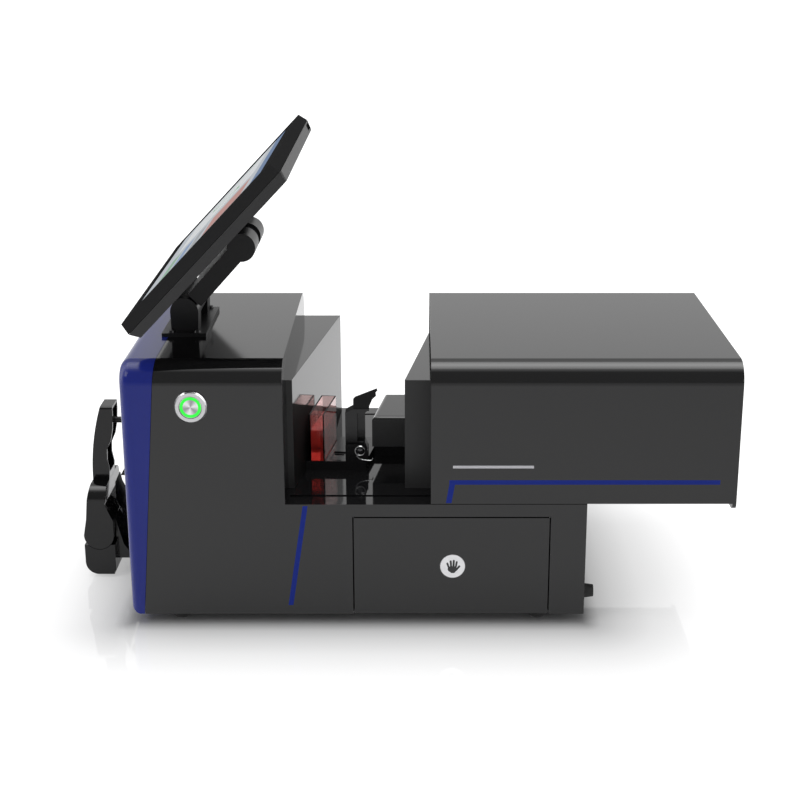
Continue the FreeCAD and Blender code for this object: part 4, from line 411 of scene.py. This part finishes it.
# Feet, rear bumpers and the clamp's pad: moulded black rubber.
# It has gone slightly grey with bloom, unevenly, and its skin is finely pitted.
rubber = Finish("black_rubber", (0.014, 0.014, 0.014), 0.75)
bloom = rubber.place.noise(scale=180.0, detail=4.0)
rubber.set("Base Color", bloom.mix((0.010, 0.010, 0.010), (0.022, 0.022, 0.022)))
rubber.bump(rubber.place.noise(scale=1500.0, detail=2.0), distance=0.00006, strength=0.5)
dress(rubber, "feet", "rear_bumpers", "clamp_pad")


# Inside: the white lining of the integrating sphere, the glass window and lens, and the main board.
# The rocker of the mains switch is here too, in smooth black plastic.
lining = Finish("sphere_lining", (0.85, 0.85, 0.83), 0.9)
lining.bump(lining.place.noise(scale=2000.0, detail=2.0), distance=0.00004, strength=0.4)
dress(lining, "sphere_front", "sphere_rear")
window = Finish("window_glass", (0.9, 0.95, 0.97), 0.02, Transmission_Weight=1.0, IOR=1.5)
window.bump(window.place.noise(scale=60.0, detail=1.0), distance=0.00001, strength=0.1)
dress(window, "chamber_window", "receiver_lens")
board = Finish("green_board", (0.01, 0.09, 0.025), 0.35)
tracks = board.place.noise(scale=140.0, detail=1.0, stretch=(1.0, 3.0, 1.0)) > 0.55
board.set("Base Color", tracks.mix((0.008, 0.07, 0.02), (0.02, 0.14, 0.045)))
dress(board, "main_board")
dress(moulded("switch_black", (0.008, 0.008, 0.008), 0.2, FINE_GRAIN), "power_switch")


# Sample holder and clip: black anodised aluminium, lightly brushed along the instrument.
# The well is milled from one block, and the lever is bent from plate and turns on the pin.
holder_metal = Finish("holder_black", (0.006, 0.006, 0.0065), 0.2, Specular_IOR_Level=0.35)
brushed = holder_metal.place.noise(scale=380.0, detail=3.0, stretch=(0.08, 1.0, 1.0))
holder_metal.set("Roughness", 0.14 + brushed * 0.12)
holder_metal.bump(brushed, distance=0.00002, strength=0.25)
dress(holder_metal, "sample_holder", "clip_lever")


# Clip spring's near leg: bright wire, two turns about the pin's head and a foot on the plate.
# It is bent from one length, so it is one swept curve.
TURN_RADIUS = 0.0040
WIRE_RADIUS = 0.00042
TURNS = 2
STEPS_PER_TURN = 20
COIL_NEAR = -0.0467
TURN_PITCH = 0.0009
pin_x, _, pin_z = middle("clip_pin")
plate_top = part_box("clip_spring")[0][2]
foot_z = plate_top + 0.0006
path_points = []
for step in range(TURNS * STEPS_PER_TURN + 1):
    turned = step / STEPS_PER_TURN
    angle = math.pi - turned * math.tau
    path_points.append((pin_x + TURN_RADIUS * math.cos(angle), COIL_NEAR + turned * TURN_PITCH,
                        pin_z + TURN_RADIUS * math.sin(angle)))
path_points += [
    (pin_x - 0.0036, -0.0448, pin_z - 0.0030),
    (pin_x - 0.0020, -0.0446, pin_z - 0.0062),
    (pin_x + 0.0015, -0.0445, pin_z - 0.0082),
    (pin_x + 0.0070, -0.0444, foot_z),
    (pin_x + 0.0095, -0.0440, foot_z),
    (pin_x + 0.0102, -0.0420, foot_z),
    (pin_x + 0.0102, -0.0392, foot_z),
]
bend = bpy.data.curves.new("clip_wire_path", "CURVE")
bend.dimensions = "3D"
bend.bevel_depth = WIRE_RADIUS
bend.bevel_resolution = 3
bend.use_fill_caps = True
bend.resolution_u = 3
spline = bend.splines.new("NURBS")
spline.points.add(len(path_points) - 1)
for point, spot in zip(spline.points, path_points):
    point.co = (*spot, 1.0)
spline.order_u = 3
spline.use_endpoint_u = True


def settled(name, source, finish):
    """Keep what an object evaluates to as a plain piece, and remove the object."""
    mesh = bpy.data.meshes.new_from_object(source.evaluated_get(bpy.context.evaluated_depsgraph_get()))
    source.modifiers.clear()
    bpy.data.objects.remove(source)
    mesh.materials.clear()
    mesh.materials.append(finish.material)
    piece = bpy.data.objects.new(name, mesh)
    bpy.context.scene.collection.objects.link(piece)
    return piece


swept = bpy.data.objects.new("clip_wire_path", bend)
bpy.context.scene.collection.objects.link(swept)
clip_wire = settled("clip_wire", swept, bright)
clip_wire.data.polygons.foreach_set("use_smooth", [True] * len(clip_wire.data.polygons))
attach(clip_wire, "base")


# Cell and its red sample: a clear moulded cuvette with polished faces, about two thirds full.
# The clear plastic has a pink tint, painted light for the red the sample throws into the cell's walls; the
# sample is a transparent red liquid.
# Painted light: the cell's pink tint stands in for red light from the sample.
clear_cell = Finish("clear_cell", (1.0, 0.74, 0.72), 0.02, Transmission_Weight=1.0, IOR=1.45)
clear_cell.bump(clear_cell.place.noise(scale=90.0, detail=1.0), distance=0.00001, strength=0.1)
dress(clear_cell, "cuvette")
sample = Finish("red_sample", (0.85, 0.10, 0.08), 0.0, Transmission_Weight=0.7, IOR=1.33)
sample_flow = sample.place.noise(scale=60.0, detail=2.0)
sample.set("Base Color", sample_flow.mix((0.80, 0.09, 0.07), (0.90, 0.13, 0.11)))
dress(sample, "sample_liquid")


# Display: a dark satin case with a grained rear shell, and a glass front lit from behind.
# The screen shows a plain page: a curve on a ruled sheet, a swatch of colour and three keys.
case = moulded("display_case", (0.021, 0.021, 0.0213), 0.4, FINE_GRAIN)
case.set("Specular IOR Level", 0.0)
dress(case, "display_frame")
rear_shell = moulded("display_back_shell", (0.028, 0.028, 0.0285), 0.4, 0.00002)
rear_shell.set("Specular IOR Level", 0.2)
dress(rear_shell, "display_back")
TILT = math.radians(46.4)
pivot = next(joint["pos_m"] for joint in frame["joints"] if joint["name"] == "display_tilt")
screen = Finish("lit_screen", (0.01, 0.01, 0.011), 0.12, Emission_Strength=0.78, Specular_IOR_Level=0.0)
x, across, z = screen.axes("XYZ")
up = (x - pivot[0]) * math.cos(TILT) + (z - pivot[2]) * math.sin(TILT) - 0.0018


def patch(left, right, low, high):
    """One where the screen's place is inside a rectangle of metres."""
    return across.between(left, right) * up.between(low, high)


picture = (up > 0.054).mix((0.62, 0.66, 0.70), (0.22, 0.30, 0.46))
sheet_area = patch(-0.005, 0.108, -0.048, 0.044)
picture = sheet_area.mix(picture, (0.85, 0.87, 0.88))
lines_per_metre = 120.0
line_share = 0.06
columns = (across * lines_per_metre).math("FRACT") < line_share
rows = (up * lines_per_metre).math("FRACT") < line_share
picture = (sheet_area * columns.math("MAXIMUM", rows)).mix(picture, (0.6, 0.64, 0.68))
wave = (across * 70.0).math("SINE") * 0.022 + across * 0.12 - 0.004
curve = (up - wave).between(-0.0012, 0.0012) * sheet_area
picture = curve.mix(picture, (0.02, 0.45, 0.10))
key_left = -0.104
key_right = -0.030
picture = patch(key_left, key_right, 0.000, 0.044).mix(picture, (0.62, 0.36, 0.33))
for number, key_colour in enumerate(((0.36, 0.55, 0.42), (0.34, 0.44, 0.62), (0.46, 0.48, 0.50))):
    key_low = -0.048 + number * 0.0155
    picture = patch(key_left, key_right, key_low, key_low + 0.011).mix(picture, key_colour)
lit = patch(-0.1185, 0.1185, -0.066, 0.066)
screen.set("Emission Color", lit.mix((0.0, 0.0, 0.0), picture))
dress(screen, "display_screen")


# Air slots in the display's rear shell: two rows of thin near-black pads on it, painted shade standing in
# for the slots' dark insides.
# One slot is drawn, and the tree sets it out in rows along the shell's upper half.
# Painted shade: a near-black pad where each slot's shaded inside would be.
slot_shade_pad = Finish("slot_shadow", (0.0015, 0.0015, 0.0015), 0.9, Specular_IOR_Level=0.1)
slot_shade_pad.bump(slot_shade_pad.place.noise(scale=900.0, detail=1.0), distance=0.00002, strength=0.2)


def rows_on_back(name, finish, sizes):
    """Rows of one small prism on the display's back, laid in the display's own frame."""
    tree = bpy.data.node_groups.new(name, "GeometryNodeTree")
    tree.interface.new_socket("Geometry", in_out="OUTPUT", socket_type="NodeSocketGeometry")
    for label, (kind, value) in sizes.items():
        size = tree.interface.new_socket(label, in_out="INPUT", socket_type="NodeSocket" + kind)
        size.default_value = value
    given = tree.nodes.new("NodeGroupInput").outputs

    def add(kind, **inputs):
        """Add a node and link what its sockets take."""
        node = tree.nodes.new("GeometryNode" + kind)
        for socket, source in inputs.items():
            tree.links.new(source, node.inputs[socket.replace("_", " ")])
        return node

    grid = add("MeshGrid", Size_X=given["Reach up"], Size_Y=given["Reach across"],
               Vertices_X=given["Count up"], Vertices_Y=given["Count across"])
    prism = add("MeshCylinder", Vertices=given["Sides"], Radius=given["Radius"], Depth=given["Proud"])
    stretched = add("Transform", Geometry=prism.outputs["Mesh"], Scale=given["Stretch"])
    copies = add("InstanceOnPoints", Points=grid.outputs["Mesh"], Instance=stretched.outputs["Geometry"])
    lifted = add("Transform", Geometry=copies.outputs["Instances"], Translation=given["Middle"])
    tilted = add("Transform", Geometry=lifted.outputs["Geometry"])
    tilted.inputs["Rotation"].default_value = (0.0, -TILT, 0.0)
    tilted.inputs["Translation"].default_value = pivot
    real = add("RealizeInstances", Geometry=tilted.outputs["Geometry"])
    paint = add("SetMaterial", Geometry=real.outputs["Geometry"])
    paint.inputs["Material"].default_value = finish.material
    tree.links.new(paint.outputs["Geometry"], tree.nodes.new("NodeGroupOutput").inputs["Geometry"])
    seed = bpy.data.objects.new(name + "_tree", bpy.data.meshes.new(name + "_tree"))
    bpy.context.scene.collection.objects.link(seed)
    modifier = seed.modifiers.new("Rows", "NODES")
    modifier.node_group = tree
    for item in tree.interface.items_tree:
        if item.in_out == "INPUT":
            modifier[item.identifier] = item.default_value
    bpy.context.view_layer.update()
    piece = settled(name, seed, finish)
    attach(piece, "display")


rows_on_back("display_vents", slot_shade_pad, {
    "Reach up": ("Float", 0.032), "Reach across": ("Float", 0.140),
    "Count up": ("Int", 2), "Count across": ("Int", 29),
    "Sides": ("Int", 12), "Radius": ("Float", 0.0012), "Proud": ("Float", 0.0003),
    "Stretch": ("Vector", (8.0, 1.0, 1.0)), "Middle": ("Vector", (0.054, 0.0, 0.0147)),
})


# Screws of the display's bracket: four small black cap heads on its plate.
# They hold the bracket to the display's back, one near each corner of the plate.
rows_on_back("bracket_screws", blackened, {
    "Reach up": ("Float", 0.040), "Reach across": ("Float", 0.046),
    "Count up": ("Int", 2), "Count across": ("Int", 2),
    "Sides": ("Int", 24), "Radius": ("Float", 0.0026), "Proud": ("Float", 0.0024),
    "Stretch": ("Vector", (1.0, 1.0, 1.0)), "Middle": ("Vector", (0.0, 0.0, 0.0116)),
})


# Display arm: a foot and a link in black painted castings, turned on two hinge pins.
# The paint is satin, over a grain that is a little coarser than the housing's.
arm_metal = moulded("arm_casting", (0.010, 0.010, 0.0105), 0.32, 0.00002)
arm_metal.set("Specular IOR Level", 0.2)
dress(arm_metal, "arm_link", "arm_base")


# Front clamp: a glossy moulded spring arm in a matching cradle.
# The arm turns on a steel pin in the bracket, which stands on the foot.
clamp_plastic = moulded("clamp_plastic", (0.003, 0.003, 0.0032), 0.14, FINE_GRAIN)
clamp_plastic.set("Specular IOR Level", 0.35)
dress(clamp_plastic, "clamp_arm", "clamp_foot", "clamp_bracket")


# Floor: a pale seamless sheet that keeps the soft shadow and a faint reflection.
# What the camera sees of it carries a painted shadow: a glow that is darkest at the instrument's foot and
# white beyond the shadow.
FLOOR_WHITE = (0.93, 0.93, 0.93)
SHADOW_REACH = 0.2
half_length, half_width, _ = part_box("housing_shell")[1]
bpy.ops.mesh.primitive_plane_add(size=60.0)
floor = bpy.context.object
floor.name = "floor"
sheet = Finish("floor_white", FLOOR_WHITE, 0.03, Emission_Strength=1.0)
seen = sheet.place.node("LightPath", output="Is Camera Ray")
mirrored = sheet.place.node("LightPath", output="Is Glossy Ray")
# For the camera the floor's own colour is dim, so the glow below carries the painted shadow.
sheet.set("Base Color", seen.mix(FLOOR_WHITE, (0.35, 0.35, 0.35)))
x, y = sheet.axes("XY")
beyond_x = (x.math("ABSOLUTE") - half_length).math("MAXIMUM", 0.0)
beyond_y = (y.math("ABSOLUTE") - half_width).math("MAXIMUM", 0.0)
away = beyond_x.reach(beyond_y) / SHADOW_REACH
# Painted shadow: the glow the camera sees rises with distance from the housing's footprint.
painted_shadow_by_distance = (
    (0.0, 0.0), (0.07, 0.30), (0.14, 0.42), (0.27, 0.58), (0.40, 0.68), (0.60, 0.80), (0.75, 0.90),
)
painted_shadow_ramp = away.node("ValToRGB", {"stops": [(far, (pale,) * 3) for far, pale in painted_shadow_by_distance]}, {0: away})
sheet.set("Emission Color", seen.mix(mirrored.mix((0.0, 0.0, 0.0), (0.2, 0.2, 0.2)), painted_shadow_ramp))
floor.data.materials.append(sheet.material)


# Studio: a soft even room, a large overhead sheet and a gentle key from the front left.
# Only mirror-like surfaces see the room's light and dark bands, which follow its depth from the
# camera's side to the far side. The camera itself sees plain white.
world = bpy.data.worlds.new("studio")
bpy.context.scene.world = world
world.use_nodes = True
tree = world.node_tree
background = tree.nodes["Background"]
direction = Wire(tree.nodes.new("ShaderNodeTexCoord").outputs["Generated"])
depth = direction.axis("Y") * 0.5 + 0.5
pale_by_depth = (
    (0.0, 0.07), (0.225, 0.07), (0.40, 0.46), (0.56, 0.92),
    (0.74, 0.32), (0.90, 0.11), (0.965, 0.16), (1.0, 0.17),
)
sky = depth.node("ValToRGB", {"stops": [(deep, (pale,) * 3) for deep, pale in pale_by_depth]}, {0: depth})
shine = direction.node("LightPath", output="Is Glossy Ray")
clear = direction.node("LightPath", output="Is Camera Ray")
clear = clear.math("MAXIMUM", direction.node("LightPath", output="Is Transmission Ray"))
room = shine.mix((0.145, 0.145, 0.147), sky)
tree.links.new(clear.mix(room, (0.2, 0.2, 0.2)).socket, background.inputs["Color"])
background.inputs["Strength"].default_value = 5.0


def soft_lamp(name, place, aim, width, height, power):
    """A rectangular soft box turned to a point."""
    data = bpy.data.lights.new(name, "AREA")
    data.shape = "RECTANGLE"
    data.size = width
    data.size_y = height
    data.energy = power
    lamp = bpy.data.objects.new(name, data)
    lamp.location = place
    lamp.rotation_euler = (Vector(aim) - Vector(place)).to_track_quat("-Z", "Y").to_euler()
    bpy.context.scene.collection.objects.link(lamp)


lit_point = (0.0, 0.0, 0.1)
soft_lamp("overhead", (0.0, 0.1, 1.9), lit_point, width=2.2, height=1.4, power=16.0)
soft_lamp("key", (-1.4, -1.3, 1.6), lit_point, width=0.9, height=0.9, power=10.0)


# Camera: the photograph's viewpoint, square to the button side and looking down on it a little.
# Its place and lens were solved from the straight edges of the instrument.
lens = bpy.data.cameras.new("camera")
lens.lens = 69.14
lens.sensor_width = 36.0
lens.shift_x = -0.0223
lens.clip_end = 100.0
camera = bpy.data.objects.new("camera", lens)
camera.location = (0.0474, -1.2183, 0.5347)
camera.rotation_euler = (math.radians(72.3), 0.0, 0.0)
bpy.context.scene.collection.objects.link(camera)
bpy.context.scene.camera = camera
bpy.context.scene.view_settings.view_transform = "Standard"
